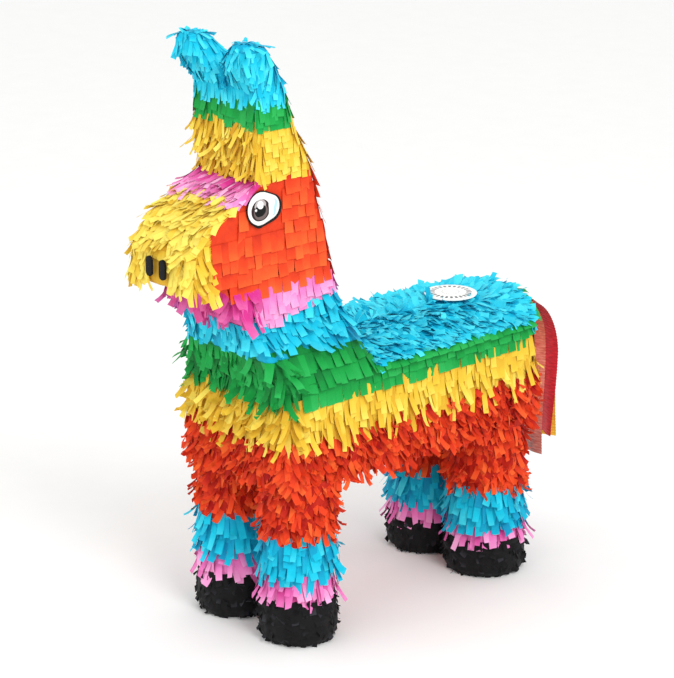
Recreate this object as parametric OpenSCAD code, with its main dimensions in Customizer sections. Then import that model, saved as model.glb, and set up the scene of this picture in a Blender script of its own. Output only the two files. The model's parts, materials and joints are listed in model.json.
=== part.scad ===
// Party pinata in the shape of a standing donkey: a hollow box of corrugated card on four card
// tubes, with a card head and neck, a skin of fringed tissue in coloured bands, a fill flap in
// the back under a round paper seal, and a tail of loose crepe streamers.
// The donkey faces -Y and stands on Z = 0. X runs across it, with its left side at +X.

/* [Body box] */
// Length of the card body box's straight sides, from the chest to the rump's corners
body_l = 300; // [240:5:360]
// How far the rounded rump stands out behind its corners
rump_bulge = 28; // [16:2:44]
// Width of the card body box
body_w = 138; // [112:2:180]
// Height of the card body box's sides
body_h = 92; // [74:2:130]
// Rise of the folded back above the sides
back_rise = 13; // [8:1:24]
// Width of the flat middle of the folded back
back_flat = 56; // [54:2:70]
// Height of the belly panel's underside above the floor
leg_h = 154; // [120:2:210]
// Thickness of the corrugated card
card_t = 3; // [2:0.5:4]
// Depth of the fringed tissue on the card
tissue_t = 6; // [4:0.5:8]

/* [Neck and head] */
// Width of the neck and head box
head_w = 80; // [60:2:104]
// Height of the jaw's underside above the back
neck_h = 87; // [70:1:120]
// How far the throat leans forward over the neck's height
neck_lean = 44; // [20:2:60]
// Depth of the neck from front to rear where it stands on the back
neck_foot = 98; // [90:2:130]
// Length of the muzzle in front of the throat
muzzle_l = 40; // [28:2:60]
// Height of the muzzle's front plate
muzzle_h = 30; // [24:2:44]
// Height of the brow above the jaw's underside
brow_h = 82; // [70:2:100]
// Height of the crown above the brow
crown_h = 83; // [70:1:100]
// Height of each ear above the crown
ear_h = 39; // [25:1:60]
// Width of each ear's flat tip, seen from the front
ear_tip = 16; // [10:1:28]
// How far each ear's tip leans out past the head's side
ear_splay = 6; // [0:1:10]
// Height of the sloping shoulder gussets that join neck and body
shoulder_h = 39; // [30:1:50]

/* [Legs] */
// Outer radius of the front leg tubes
front_leg_r = 28; // [20:1:32]
// Outer radius of the rear leg tubes
rear_leg_r = 31; // [20:1:34]
// Distance between the axes of the two front legs
front_leg_gap = 88; // [80:2:110]
// Distance between the axes of the two rear legs
rear_leg_gap = 80; // [78:2:110]
// Wall of the leg tubes
leg_wall = 2.5; // [1.5:0.5:4]
// Thickness of the card sole in each hoof
sole_t = 3; // [2:0.5:5]

/* [Fill flap and hanging holes] */
// Radius of the fill hole in the back panel
fill_r = 22; // [16:1:26]
// Radius of the round paper seal on the flap
seal_r = 25; // [20:1:28]
// Thickness of the paper seal
seal_t = 0.8; // [0.4:0.2:1.2]
// Distance of the fill hole's centre in front of the rump's corners
fill_in = 38; // [20:1:60]
// Gap all round the flap in its hole
flap_gap = 1; // [0.5:0.25:2]
// Radius of the two holes for the hanging cord
cord_hole_r = 3; // [2:0.5:5]
// Distance between the two cord holes
cord_hole_gap = 30; // [20:2:44]
// Thickness of the reinforcing plate under the cord holes
hanger_t = 6; // [3:1:10]

/* [Tail] */
// Width of each crepe streamer
streamer_w = 24; // [14:1:34]
// Thickness of a streamer
streamer_t = 0.8; // [0.5:0.1:1]
// Distance that the outermost streamer stands behind the tail's wire
tail_reach = 56; // [40:2:110]
// Length of the longest streamer's fall
tail_drop = 175; // [140:5:220]

/* [Hidden] */

round_fn = 72;
card_brown = "#b08d62";
blue = "#16b8dc";
green = "#12a04a";
yellow = "#f3c21f";
orange = "#f0491c";
pink = "#f08cc8";
black = "#1c1b1d";
red = "#c8102e";

// Heights of the main levels: the sides' top edges, and the flat middle of the back
edge_z = leg_h + body_h;
top_z = edge_z + back_rise;
shoulder_z = top_z + shoulder_h;
// The body box is drawn about its own middle, and place() then centres the whole donkey
chest_y = -body_l / 2;
rump_y = body_l / 2;
// The rump is an arc through its two corners and its rearmost point
rump_r = (body_w * body_w / 4 + rump_bulge * rump_bulge) / (2 * rump_bulge);
rump_end = rump_y + rump_bulge;
inner_w = body_w - 2 * card_t;
head_in = head_w / 2 - card_t;

// Bands of tissue on the body, as shares of the body's height from the belly up
yellow_z = leg_h + 0.33 * body_h;
green_z = leg_h + 0.78 * body_h;

// Outline of the neck and head in the side view: points [y, z] from the chest's top edge, in
// order from the foot of the throat, up the face, over the crown and down the nape
brow_z = neck_h + brow_h;
crown_z = brow_z + crown_h;
crown_d = 28;
chin_y = -neck_lean - muzzle_l;
face_y = -neck_lean * 0.14;
profile = [
  [0, 0], [-neck_lean * 0.1, neck_h * 0.18], [-neck_lean * 0.73, neck_h * 0.64],
  [-neck_lean, neck_h], [chin_y, neck_h], [chin_y + 4, neck_h + muzzle_h],
  [chin_y + 24, neck_h + muzzle_h + 21], [face_y, brow_z], [face_y - 4, crown_z],
  [face_y - 4 + crown_d, crown_z], [neck_foot - 69, brow_z + 0.56 * crown_h],
  [neck_foot - 53, brow_z + 0.2 * crown_h], [neck_foot - 47, brow_z - 4],
  [neck_foot - 37, neck_h + 41], [neck_foot - 22, neck_h - 24], [neck_foot, 0]];

// Outline of an ear above the crown, from the same origin
ear_front_y = face_y - 4;
ear = [
  [ear_front_y, crown_z], [ear_front_y - 16, crown_z + 0.72 * ear_h],
  [ear_front_y - 14, crown_z + ear_h], [ear_front_y + 3, crown_z + 0.96 * ear_h],
  [ear_front_y + crown_d, crown_z]];

// Levels of the tissue bands on the neck and head, above the back
collar_z = shoulder_h;
cheek_z = shoulder_h + 30;
crown_yellow_z = brow_z - 2;
crown_green_z = crown_yellow_z + 0.57 * crown_h;
crown_blue_z = crown_green_z + 20;
cheek_line = [[chin_y + 28, neck_h - 20], [chin_y + 16, neck_h + muzzle_h + 40]];

// Legs as [name ending, x, y, tube radius, top of the black, of the pink, of the blue]
front_leg_y = chest_y + front_leg_r + 3;
rear_leg_y = rump_y - rear_leg_r + 3;
front_bands = [39, 59, 100];
rear_bands = [30, 46, 82];
legs = [
  [front_leg_gap / 2, front_leg_y, front_leg_r, front_bands],
  [-front_leg_gap / 2, front_leg_y, front_leg_r, front_bands],
  [rear_leg_gap / 2, rear_leg_y, rear_leg_r, rear_bands],
  [-rear_leg_gap / 2, rear_leg_y, rear_leg_r, rear_bands]];

// Fill flap: its hinge crease lies at the seal's rear edge, level with the seal's top
fill_y = rump_y - fill_in;
seal_z = top_z + tissue_t + 0.5;
crease_y = fill_y + seal_r + 0.4;
crease_z = seal_z + seal_t;
crease_w = 14;
cord_y = (chest_y + neck_foot + fill_y - seal_r) / 2;

// Tail: every streamer hangs from one wire along X behind the top of the rump
tail_y = rump_end + tissue_t + 9;
tail_z = edge_z - 6;
wire_r = 1.2;
layer = streamer_t + 0.35;
// Streamers from the inside out as [x of the middle, share of the reach, share of the drop]
streamers = [
  [-9, 0.34, 1.0], [-2, 0.42, 0.37], [6, 0.52, 0.93], [12, 0.74, 0.83], [3, 0.88, 0.87], [-4, 1.0, 0.74]];

// The whole donkey's middle in Y goes to the origin
nostril_t = 1.5;
nose_y = chest_y + chin_y - tissue_t - nostril_t;
tail_end_y = tail_y + tail_reach + streamer_t / 2;
mid_y = (nose_y + tail_end_y) / 2;

// Moves a piece from the body box's own middle to the whole donkey's middle
module place() {
  translate([0, -mid_y, 0]) children();
}

// Turns a side view in Y and Z into a slab from x = from to x = from + wide
module slab(from, wide) {
  translate([from, 0, 0]) rotate([90, 0, 90]) linear_extrude(wide) children();
}

// Puts a side view drawn from the chest's top edge in its place
module on_chest() {
  translate([chest_y, top_z]) children();
}

// Where the straight line through two points of the outline has height z
function y_at(i, j, z) =
  profile[i][0] + (profile[j][0] - profile[i][0]) * (z - profile[i][1]) / (profile[j][1] - profile[i][1]);

function unit(v) = v / norm(v);

function left_of(v) = [-v[1], v[0]];

// A point on the outline moved inwards by t along its mitre; the outline runs clockwise
function mitred(pts, i, t) =
  let (
    n = len(pts),
    a = left_of(unit(pts[i] - pts[(i + n - 1) % n])),
    b = left_of(unit(pts[(i + 1) % n] - pts[i])),
    m = unit(a + b))
  pts[i] - t / (m * a) * m;

// Side view of the card strip that runs inside the outline from point i to point j
function strip(i, j) = concat(
  [for (k = [i:j]) profile[k]],
  [for (k = [j:-1:i]) mitred(profile, k, card_t)]);

// A path in the side view given a thickness, with its ends cut square
function path_side(path, t) = [
  for (k = [0:len(path) - 1])
    let (
      before = path[max(k - 1, 0)],
      after = path[min(k + 1, len(path) - 1)])
    path[k] + t / 2 * left_of(unit(after - before))];

function thick(path, t) =
  concat(path_side(path, t), [for (k = [len(path) - 1:-1:0]) path_side(path, -t)[k]]);

module block(low, high) {
  translate(low) cube(high - low);
}

// ---- card body box ----

// The body's plan, grown by g all round: straight sides and an arc for the rump
module plan(g) {
  half = body_w / 2 + g;
  translate([-half, chest_y - g]) square([2 * half, body_l + g]);
  intersection() {
    translate([-half, rump_y]) square([2 * half, rump_bulge + g]);
    translate([0, rump_end - rump_r]) circle(r = rump_r + g, $fn = 120);
  }
}

// The top of the body's cross-section in X and Z, grown by g: a back folded along two scores
function back_line(g) =
  let (half = body_w / 2 + g, flat = back_flat / 2 + g / 3)
  [[-half, edge_z + g / 3], [-flat, top_z + g], [flat, top_z + g], [half, edge_z + g / 3]];

module section(g) {
  half = body_w / 2 + g;
  polygon(concat([[-half, leg_h]], back_line(g), [[half, leg_h]]));
}

// A cross-section drawn in X and Z, run the whole length of the body
module run_along() {
  translate([0, body_l, 0]) rotate([90, 0, 0]) linear_extrude(2 * body_l) children();
}

// The solid block that the body box encloses, grown by g
module body_block(g) {
  intersection() {
    translate([0, 0, leg_h]) linear_extrude(2 * body_h) plan(g);
    run_along() section(g);
  }
}

module body_side(side) {
  x = side > 0 ? body_w / 2 - card_t : -body_w / 2;
  color(card_brown) place() block([x, chest_y, leg_h], [x + card_t, rump_y, edge_z]);
}

module back_panel() {
  upper = back_line(0);
  color(card_brown) place() difference() {
    intersection() {
      translate([0, 0, leg_h]) linear_extrude(2 * body_h) plan(-card_t);
      run_along() polygon(concat(upper, [for (k = [3:-1:0]) upper[k] - [0, card_t]]));
    }
    translate([0, fill_y, top_z - 2 * card_t]) cylinder(h = 3 * card_t, r = fill_r, $fn = round_fn);
    cord_holes(top_z - 2 * card_t, 3 * card_t, cord_hole_r);
  }
}

module cord_holes(z, h, r) {
  for (side = [-1, 1])
    translate([0, cord_y + side * cord_hole_gap / 2, z]) cylinder(h = h, r = r, $fn = round_fn);
}

module hanger_plate() {
  plate_z = top_z - card_t - hanger_t;
  half = back_flat / 2 - 2;
  color("#c9a36a") place() difference() {
    block([-half, cord_y - cord_hole_gap / 2 - 14, plate_z],
      [half, cord_y + cord_hole_gap / 2 + 14, plate_z + hanger_t]);
    cord_holes(plate_z - 1, hanger_t + 2, cord_hole_r);
  }
}

module belly_panel() {
  color(card_brown) place() translate([0, 0, leg_h]) linear_extrude(card_t) plan(-card_t);
}

module chest_panel() {
  color(card_brown) place() intersection() {
    block([-inner_w / 2, chest_y, leg_h], [inner_w / 2, chest_y + card_t, top_z]);
    run_along() section(0);
  }
}

module rump_panel() {
  color(card_brown) place() difference() {
    intersection() {
      translate([0, 0, leg_h]) linear_extrude(top_z - leg_h) difference() {
        plan(0);
        plan(-card_t);
        translate([-body_w, -2 * body_l]) square([2 * body_w, 2 * body_l + rump_y]);
      }
      run_along() section(0);
    }
    wire_ends();
  }
}

// The two straight ends of the tail wire, which pass forwards through the rump's card and tissue
module wire_ends() {
  for (side = [-1, 1])
    translate([side * (streamer_w + 1), rump_y, tail_z]) rotate([-90, 0, 0])
      cylinder(h = tail_y - rump_y + wire_r, r = wire_r, $fn = round_fn);
}

// The side view of the shoulders, grown by g: from the body's top edges up to the neck
module shoulder_side(g) {
  foot_rear = chest_y + y_at(14, 15, -back_rise);
  polygon([[chest_y - g, edge_z], [chest_y + y_at(1, 2, shoulder_h) - g, shoulder_z],
    [chest_y + y_at(14, 15, shoulder_h) + g, shoulder_z], [foot_rear + g, edge_z]]);
}

// The block that the shoulders enclose, grown by g
module shoulders(g) {
  intersection() {
    slab(-body_w, 2 * body_w) shoulder_side(g);
    run_along() polygon([[-body_w / 2 - g, edge_z], [-head_w / 2 - g, shoulder_z],
      [head_w / 2 + g, shoulder_z], [body_w / 2 + g, edge_z]]);
  }
}

// Sloping card from the body's top edge up to the neck's side; its foot follows the folded back
module shoulder_gusset(side) {
  foot_t = card_t * 1.6;
  foot_rise = back_rise * foot_t / (body_w / 2 - back_flat / 2);
  color(card_brown) place() intersection() {
    mirror([side > 0 ? 0 : 1, 0, 0]) run_along()
      polygon([[body_w / 2, edge_z], [head_w / 2, shoulder_z],
        [head_w / 2, shoulder_z - 2 * foot_t], [body_w / 2 - foot_t, edge_z + foot_rise]]);
    slab(-body_w, 2 * body_w) shoulder_side(0);
  }
}

// ---- card neck and head ----

module head_side(side) {
  x = side > 0 ? head_in : -head_w / 2;
  foot = [[neck_foot, -back_rise], [0, -back_rise]];
  color(card_brown) place() difference() {
    slab(x, card_t) on_chest() polygon(concat(profile, foot));
    body_block(0);
  }
}

module head_strip(i, j) {
  color(card_brown) place() slab(-head_in, 2 * head_in) on_chest() polygon(strip(i, j));
}

// The front view of the left ear, grown by g: both edges slope outwards to the tip
module ear_front(g) {
  outer_x = head_w / 2 + g;
  tip_x = head_w / 2 + ear_splay;
  tip_z = top_z + crown_z + ear_h + g;
  polygon([[outer_x, top_z + crown_z], [tip_x + g, tip_z], [tip_x - ear_tip - g / 2, tip_z],
    [card_t - g / 2, top_z + crown_z]]);
}

// Each ear is one card folded over: up the outer side, across the tip and down the inner slope
module ear(side) {
  outer_x = head_w / 2 - card_t / 2;
  tip_x = head_w / 2 + ear_splay;
  tip_z = ear_h - card_t / 2;
  fold = [[outer_x, -card_t], [outer_x, 0], [tip_x - card_t / 2, tip_z], [tip_x - ear_tip, tip_z],
    [1.5 * card_t, 0]];
  color(card_brown) place() mirror([side > 0 ? 0 : 1, 0, 0]) intersection() {
    slab(0, head_w) on_chest() polygon(ear);
    run_along() intersection() {
      translate([0, top_z + crown_z]) polygon(thick(fold, card_t));
      ear_front(0);
    }
  }
}

// ---- legs ----

module leg_tube(leg) {
  color(card_brown) place() translate([leg[0], leg[1], sole_t]) difference() {
    cylinder(h = leg_h - sole_t, r = leg[2], $fn = round_fn);
    translate([0, 0, -1]) cylinder(h = leg_h + 2, r = leg[2] - leg_wall, $fn = round_fn);
  }
}

module hoof_sole(leg) {
  color(black) place() translate([leg[0], leg[1], 0])
    cylinder(h = sole_t, r = leg[2], $fn = round_fn);
}

// One ring of tissue round each leg, between the two heights that it is given per leg
module leg_tissue(low, high) {
  place() for (k = [0:3])
    translate([legs[k][0], legs[k][1], low[k]]) difference() {
      cylinder(h = high[k] - low[k], r = legs[k][2] + tissue_t, $fn = round_fn);
      translate([0, 0, -1]) cylinder(h = high[k] - low[k] + 2, r = legs[k][2], $fn = round_fn);
    }
}

function band(k) = [for (leg = legs) leg[3][k]];

function level(z) = [for (leg = legs) z];

// ---- tissue on the body ----

// A ring of tissue round the body box
module body_ring(low, high) {
  translate([0, 0, low]) linear_extrude(high - low) difference() {
    plan(tissue_t);
    plan(0);
  }
}

module tissue_back_blue() {
  front_y = chest_y + y_at(14, 15, -back_rise) + tissue_t;
  color(blue) place() difference() {
    intersection() {
      body_block(tissue_t);
      block([-body_w, front_y, edge_z], [body_w, body_l, top_z + 2 * tissue_t]);
    }
    body_block(0);
    translate([0, fill_y, top_z - 1])
      cylinder(h = 2 * tissue_t, r = seal_r + 1.5, $fn = round_fn);
    cord_holes(top_z - 1, 2 * tissue_t, 2 * cord_hole_r);
  }
}

module tissue_body_green() {
  color(green) place() difference() {
    body_ring(green_z, edge_z);
    wire_ends();
  }
}

module tissue_body_yellow() {
  color(yellow) place() body_ring(yellow_z, green_z);
}

module tissue_body_orange() {
  under_z = leg_h - tissue_t;
  color(orange) place() difference() {
    union() {
      body_ring(leg_h, yellow_z);
      translate([0, 0, under_z]) linear_extrude(tissue_t) plan(tissue_t);
    }
    for (leg = legs)
      translate([leg[0], leg[1], under_z - 1])
        cylinder(h = tissue_t + 1, r = leg[2] + tissue_t, $fn = round_fn);
  }
}

// The folded back above the sides' top edges, cut off upright 1 mm inside them
module over_back() {
  half = body_w / 2 - 1;
  foot_z = edge_z + back_rise / (body_w / 2 - back_flat / 2);
  run_along() polygon([[-half, edge_z - 1], [-half, foot_z], [-back_flat / 2, top_z],
    [back_flat / 2, top_z], [half, foot_z], [half, edge_z - 1]]);
}

module tissue_chest_blue() {
  color(blue) place() difference() {
    shoulders(tissue_t);
    shoulders(0);
    over_back();
  }
}

// ---- tissue on the neck and head ----

// The tissue on the neck and head inside a zone of the side view
module head_skin() {
  place() difference() {
    slab(-head_w / 2 - tissue_t, head_w + 2 * tissue_t) on_chest() intersection() {
      offset(delta = tissue_t) polygon(profile);
      children();
    }
    slab(-head_w / 2, head_w) on_chest() polygon(profile);
  }
}

// Everything in the side view between two heights
module level_zone(low, high) {
  translate([-300, low]) square([600, high - low]);
}

// Everything in front of the cheek's front edge
module muzzle_zone() {
  polygon([cheek_line[0], cheek_line[1], cheek_line[1] + [-200, 0], cheek_line[0] + [-200, 0]]);
}

// The tissue that lies on the sloping top of the nose, from one share of its length to another
module nose_top_zone(from, to) {
  a = profile[6] + (profile[7] - profile[6]) * from;
  b = profile[6] + (profile[7] - profile[6]) * to;
  n = -left_of(unit(profile[7] - profile[6])) * -3 * tissue_t;
  polygon([a, a + n, b + n, b]);
}

module tissue_collar_pink() {
  color(pink) head_skin() level_zone(collar_z, cheek_z);
}

module tissue_cheek_orange() {
  color(orange) head_skin() difference() {
    level_zone(cheek_z, crown_yellow_z);
    muzzle_zone();
    nose_top_zone(-0.5, 1);
    nose_corner_zone();
  }
}

// The tissue in front of the brow, where the nose's top meets the forehead
module nose_corner_zone() {
  n = left_of(unit(profile[7] - profile[6])) * 3 * tissue_t;
  polygon([profile[7], profile[7] + n, profile[7] + [-2 * tissue_t, 60], profile[7] + [0, 60]]);
}

module tissue_muzzle_yellow() {
  color(yellow) head_skin() intersection() {
    level_zone(neck_h - 2 * tissue_t, crown_yellow_z);
    union() {
      muzzle_zone();
      nose_top_zone(-0.5, 0.5);
    }
  }
}

module tissue_brow_pink() {
  color(pink) head_skin() intersection() {
    level_zone(neck_h, crown_yellow_z);
    difference() {
      union() {
        nose_top_zone(0.5, 1);
        nose_corner_zone();
      }
      muzzle_zone();
    }
  }
}

module tissue_crown_yellow() {
  color(yellow) head_skin() level_zone(crown_yellow_z, crown_green_z);
}

module tissue_crown_green() {
  color(green) head_skin() level_zone(crown_green_z, crown_blue_z);
}

// The blue tissue below the ears, and on top of the crown between them
module tissue_crown_blue() {
  color(blue) head_skin() level_zone(crown_blue_z, crown_z);
}

module tissue_ear(side) {
  color(blue) place() mirror([side > 0 ? 0 : 1, 0, 0]) difference() {
    intersection() {
      slab(0.3, head_w) on_chest() intersection() {
        offset(delta = tissue_t - 1) polygon(ear);
        level_zone(crown_z, crown_z + 2 * ear_h);
      }
      run_along() ear_front(tissue_t - 1);
    }
    intersection() {
      slab(0, head_w) on_chest() polygon(ear);
      run_along() ear_front(0);
    }
  }
}

// ---- face ----

// A die-cut paper eye on the cheek: two large circles and a small one below, joined by tangents
module eye(side) {
  x = head_w / 2 + tissue_t;
  color("white") place() mirror([side > 0 ? 0 : 1, 0, 0])
    slab(x, 1) on_chest() translate([face_y, brow_z - 21]) hull() {
      translate([-3.5, 0.5]) circle(r = 16, $fn = 32);
      translate([6, -1.5]) circle(r = 14, $fn = 32);
      translate([-5.4, -10.4]) circle(r = 6, $fn = 32);
    }
}

// Two upright ovals of black paper on the tissue of the muzzle's front plate
module nostrils() {
  oval_r = 4;
  color(black) place() difference() {
    for (side = [-1, 1])
      translate([side * 9, nose_y + 3 * nostril_t, top_z + neck_h + muzzle_h / 2]) rotate([90, 0, 0])
        linear_extrude(3 * nostril_t) hull() {
          translate([0, 5]) circle(r = oval_r, $fn = 32);
          translate([0, -5]) circle(r = oval_r, $fn = 32);
        }
    slab(-head_w, 2 * head_w) on_chest() offset(delta = tissue_t) polygon(profile);
  }
}

// ---- fill flap ----

module fill_flap() {
  color(card_brown) place() translate([0, fill_y, top_z - card_t])
    cylinder(h = card_t, r = fill_r - flap_gap, $fn = round_fn);
}

module flap_tissue() {
  color(blue) place() translate([0, fill_y, top_z])
    cylinder(h = seal_z - top_z, r = fill_r - flap_gap, $fn = round_fn);
}

// The round seal, with the rolled crease that it folds along at its rear edge
module paper_seal() {
  color("white") place() {
    translate([0, fill_y, seal_z]) cylinder(h = seal_t, r = seal_r, $fn = round_fn);
    translate([-crease_w / 2, crease_y, crease_z]) rotate([0, 90, 0])
      cylinder(h = crease_w, r = seal_t, $fn = round_fn);
  }
}

// ---- tail ----

module tail_wire() {
  color("#9a9a9a") place() {
    translate([-streamer_w, tail_y, tail_z]) rotate([0, 90, 0])
      cylinder(h = 2 * streamer_w, r = wire_r, $fn = round_fn);
    wire_ends();
  }
}

// A streamer leaves the wire backwards, turns down through a quarter ellipse and falls straight
module streamer(k, tint) {
  s = streamers[k];
  lift = wire_r + 0.5 + streamer_t / 2 + k * layer;
  reach = tail_reach * s[1];
  bend = reach * 0.9;
  fall = tail_drop * s[2];
  arc = [for (t = [0:9:90]) [reach * sin(t), lift - bend * (1 - cos(t))]];
  color(tint) place() slab(s[0] - streamer_w / 2, streamer_w) translate([tail_y, tail_z])
    polygon(thick(concat(arc, [[reach, lift - fall]]), streamer_t));
}

body_side(1);  // body_side_left
body_side(-1);  // body_side_right
back_panel();
belly_panel();
chest_panel();
rump_panel();
head_side(1);  // head_side_left
head_side(-1);  // head_side_right
head_strip(4, 5);  // muzzle_plate
head_strip(5, 7);  // nose_bridge_strip
head_strip(7, 8);  // forehead_strip
head_strip(8, 9);  // crown_strip
head_strip(9, 15);  // nape_strip
head_strip(0, 3);  // throat_strip
head_strip(3, 4);  // jaw_strip
ear(1);  // ear_left
ear(-1);  // ear_right
shoulder_gusset(1);  // shoulder_gusset_left
shoulder_gusset(-1);  // shoulder_gusset_right
hanger_plate();
leg_tube(legs[0]);  // leg_tube_front_left
leg_tube(legs[1]);  // leg_tube_front_right
leg_tube(legs[2]);  // leg_tube_rear_left
leg_tube(legs[3]);  // leg_tube_rear_right
hoof_sole(legs[0]);  // hoof_sole_front_left
hoof_sole(legs[1]);  // hoof_sole_front_right
hoof_sole(legs[2]);  // hoof_sole_rear_left
hoof_sole(legs[3]);  // hoof_sole_rear_right
tissue_back_blue();
tissue_body_green();
tissue_body_yellow();
tissue_body_orange();
tissue_chest_blue();
tissue_collar_pink();
tissue_cheek_orange();
tissue_muzzle_yellow();
tissue_brow_pink();
tissue_crown_yellow();
tissue_crown_green();
tissue_crown_blue();
tissue_ear(1);  // tissue_ear_left
tissue_ear(-1);  // tissue_ear_right
color(orange) leg_tissue(band(2), level(leg_h));  // tissue_leg_orange
color(blue) leg_tissue(band(1), band(2));  // tissue_leg_blue
color(pink) leg_tissue(band(0), band(1));  // tissue_leg_pink
color(black) leg_tissue(level(0.5), band(0));  // tissue_hoof_black
eye(1);  // eye_left
eye(-1);  // eye_right
nostrils();
fill_flap();
flap_tissue();
paper_seal();
tail_wire();
streamer(0, "#1487a8");  // streamer_blue
streamer(1, "#f0901c");  // streamer_orange
streamer(2, "#f08060");  // streamer_salmon
streamer(3, red);  // streamer_red
streamer(4, "#d8b020");  // streamer_yellow
streamer(5, "#1a93ad");  // streamer_teal
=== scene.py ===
import json
import math

import bpy
import numpy as np
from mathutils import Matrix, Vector


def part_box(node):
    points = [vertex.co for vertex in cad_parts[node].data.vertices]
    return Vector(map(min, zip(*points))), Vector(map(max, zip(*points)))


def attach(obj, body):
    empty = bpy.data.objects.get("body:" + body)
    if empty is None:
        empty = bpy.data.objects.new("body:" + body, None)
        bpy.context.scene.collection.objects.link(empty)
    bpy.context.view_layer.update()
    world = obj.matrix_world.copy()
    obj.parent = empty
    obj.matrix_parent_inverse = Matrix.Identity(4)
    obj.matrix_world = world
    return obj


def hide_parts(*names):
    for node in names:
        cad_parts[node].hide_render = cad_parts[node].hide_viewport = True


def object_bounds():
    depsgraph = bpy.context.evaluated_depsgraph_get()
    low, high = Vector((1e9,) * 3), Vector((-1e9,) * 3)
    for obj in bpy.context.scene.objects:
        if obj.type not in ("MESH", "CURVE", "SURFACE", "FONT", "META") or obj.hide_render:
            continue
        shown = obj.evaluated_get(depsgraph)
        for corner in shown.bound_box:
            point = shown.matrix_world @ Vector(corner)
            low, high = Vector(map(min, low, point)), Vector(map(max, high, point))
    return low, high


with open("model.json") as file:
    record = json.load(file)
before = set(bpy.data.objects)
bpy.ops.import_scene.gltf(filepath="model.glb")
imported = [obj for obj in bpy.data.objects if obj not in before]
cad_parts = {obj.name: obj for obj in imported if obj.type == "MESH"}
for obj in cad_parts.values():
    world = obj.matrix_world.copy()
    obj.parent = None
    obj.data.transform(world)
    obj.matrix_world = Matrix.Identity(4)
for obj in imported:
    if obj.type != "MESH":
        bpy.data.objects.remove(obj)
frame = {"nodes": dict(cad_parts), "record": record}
cad_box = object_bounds()

bl_info = {
    "name": "Fringed Donkey Pinata",
    "version": (1, 0, 0),
    "blender": (4, 5, 0),
    "location": "View3D > Sidebar > Pinata",
    "description": "Dresses a card donkey in bands of fringed tissue, with paper eyes and a crepe tail",
    "category": "Add Mesh",
}

MM = 0.001
SIDEWAYS, UP = np.array([1.0, 0.0, 0.0]), np.array([0.0, 0.0, 1.0])  # along +X and +Z
PAPER_LIFT = 1.5 * MM  # how far the pasted tissue base stands off the card
STAND = 1.3 * MM  # how far a tab's root stands off the pasted base's own surface
HAIR = 0.013 * MM  # how far a cutting plane is raised, to miss corner points
PROUD = 6.5 * MM  # how far a tab may stand out past the donkey's overall box


# ---------------------------------------------------------------- sizes from the frame

def low(node):
    return np.array(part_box(node)[0])


def high(node):
    return np.array(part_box(node)[1])


def card_mesh(node):
    """Corner points and triangle corner numbers of a CAD node."""
    mesh = frame["nodes"][node].data
    points = np.empty(len(mesh.vertices) * 3)
    mesh.vertices.foreach_get("co", points)
    mesh.calc_loop_triangles()
    corners = np.empty(len(mesh.loop_triangles) * 3, np.int32)
    mesh.loop_triangles.foreach_get("vertices", corners)
    return points.reshape(-1, 3), corners.reshape(-1, 3)


def cut_at(node, height):
    """Lowest and highest x and y where a level plane cuts the node's edges: every edge that
    crosses the height gives one point by linear interpolation between its ends. The plane is
    raised by a hair, so that it never runs through a corner point."""
    height = height + HAIR
    points, tris = card_mesh(node)
    ends = np.concatenate([tris[:, [0, 1]], tris[:, [1, 2]], tris[:, [2, 0]]])
    a, b = points[ends[:, 0]], points[ends[:, 1]]
    crosses = (a[:, 2] - height) * (b[:, 2] - height) < 0
    a, b = a[crosses], b[crosses]
    share = ((height - a[:, 2]) / (b[:, 2] - a[:, 2]))[:, None]
    hit = a + (b - a) * share
    return hit.min(axis=0), hit.max(axis=0)


BODY_HALF = high("body_side_left")[0]
CHEST_Y = low("chest_panel")[1]
RUMP_Y = high("body_side_left")[1]
RUMP_END = high("rump_panel")[1]
LEG_TOP = low("belly_panel")[2]
EDGE_Z = high("body_side_left")[2]
BACK_Z = high("back_panel")[2]
HEAD_HALF = high("head_side_left")[0]
CROWN_Z = high("crown_strip")[2]
SHOULDER_Z = high("shoulder_gusset_left")[2]
JAW_Z = low("jaw_strip")[2]
EAR_TIP_Z = high("ear_left")[2]
LEG_ENDS = ("front", "rear")
SIDES = ("left", "right")
ROOM_LOW = np.array(cad_box[0]) - PROUD
ROOM_HIGH = np.array(cad_box[1]) + PROUD
ROOM_LOW[2] = 0.3 * MM


def up(height):
    """A level given in millimetres above the belly, where the body box starts."""
    return LEG_TOP + height * MM


# ---------------------------------------------------------------- colour and materials

def linear(code, alpha=1.0):
    """An sRGB hex colour such as #12B5DC as linear red, green, blue and alpha."""
    parts = [int(code[i:i + 2], 16) / 255 for i in (1, 3, 5)]
    return (*(p / 12.92 if p <= 0.04045 else ((p + 0.055) / 1.055) ** 2.4 for p in parts), alpha)


def add_node(material, kind, settings=(), links=()):
    """Adds a node, sets its properties and input values, and links outputs into its inputs."""
    node = material.node_tree.nodes.new(kind)
    for key, value in settings:
        if isinstance(key, str) and hasattr(node, key):
            setattr(node, key, value)
        else:
            node.inputs[key].default_value = value
    for key, output in links:
        material.node_tree.links.new(output, node.inputs[key])
    return node


def new_material(name):
    material = bpy.data.materials.new(name)
    material.use_nodes = True
    material.node_tree.nodes.clear()
    return material


def close_material(material, settings, links):
    """Ends a material with a Principled shader and the output that it feeds."""
    shader = add_node(material, "ShaderNodeBsdfPrincipled", settings, links)
    add_node(material, "ShaderNodeOutputMaterial", (), [("Surface", shader.outputs["BSDF"])])
    return material


def object_noise(material, size_mm, detail=2.0, stretch=(1.0, 1.0, 1.0)):
    """Noise on Object coordinates whose features are about size_mm across."""
    place = add_node(material, "ShaderNodeTexCoord")
    scaled = add_node(material, "ShaderNodeMapping", [("Scale", stretch)],
                      [("Vector", place.outputs["Object"])])
    return add_node(material, "ShaderNodeTexNoise",
                    [("Scale", 1.0 / (size_mm * MM)), ("Detail", detail)],
                    [("Vector", scaled.outputs["Vector"])])


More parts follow.
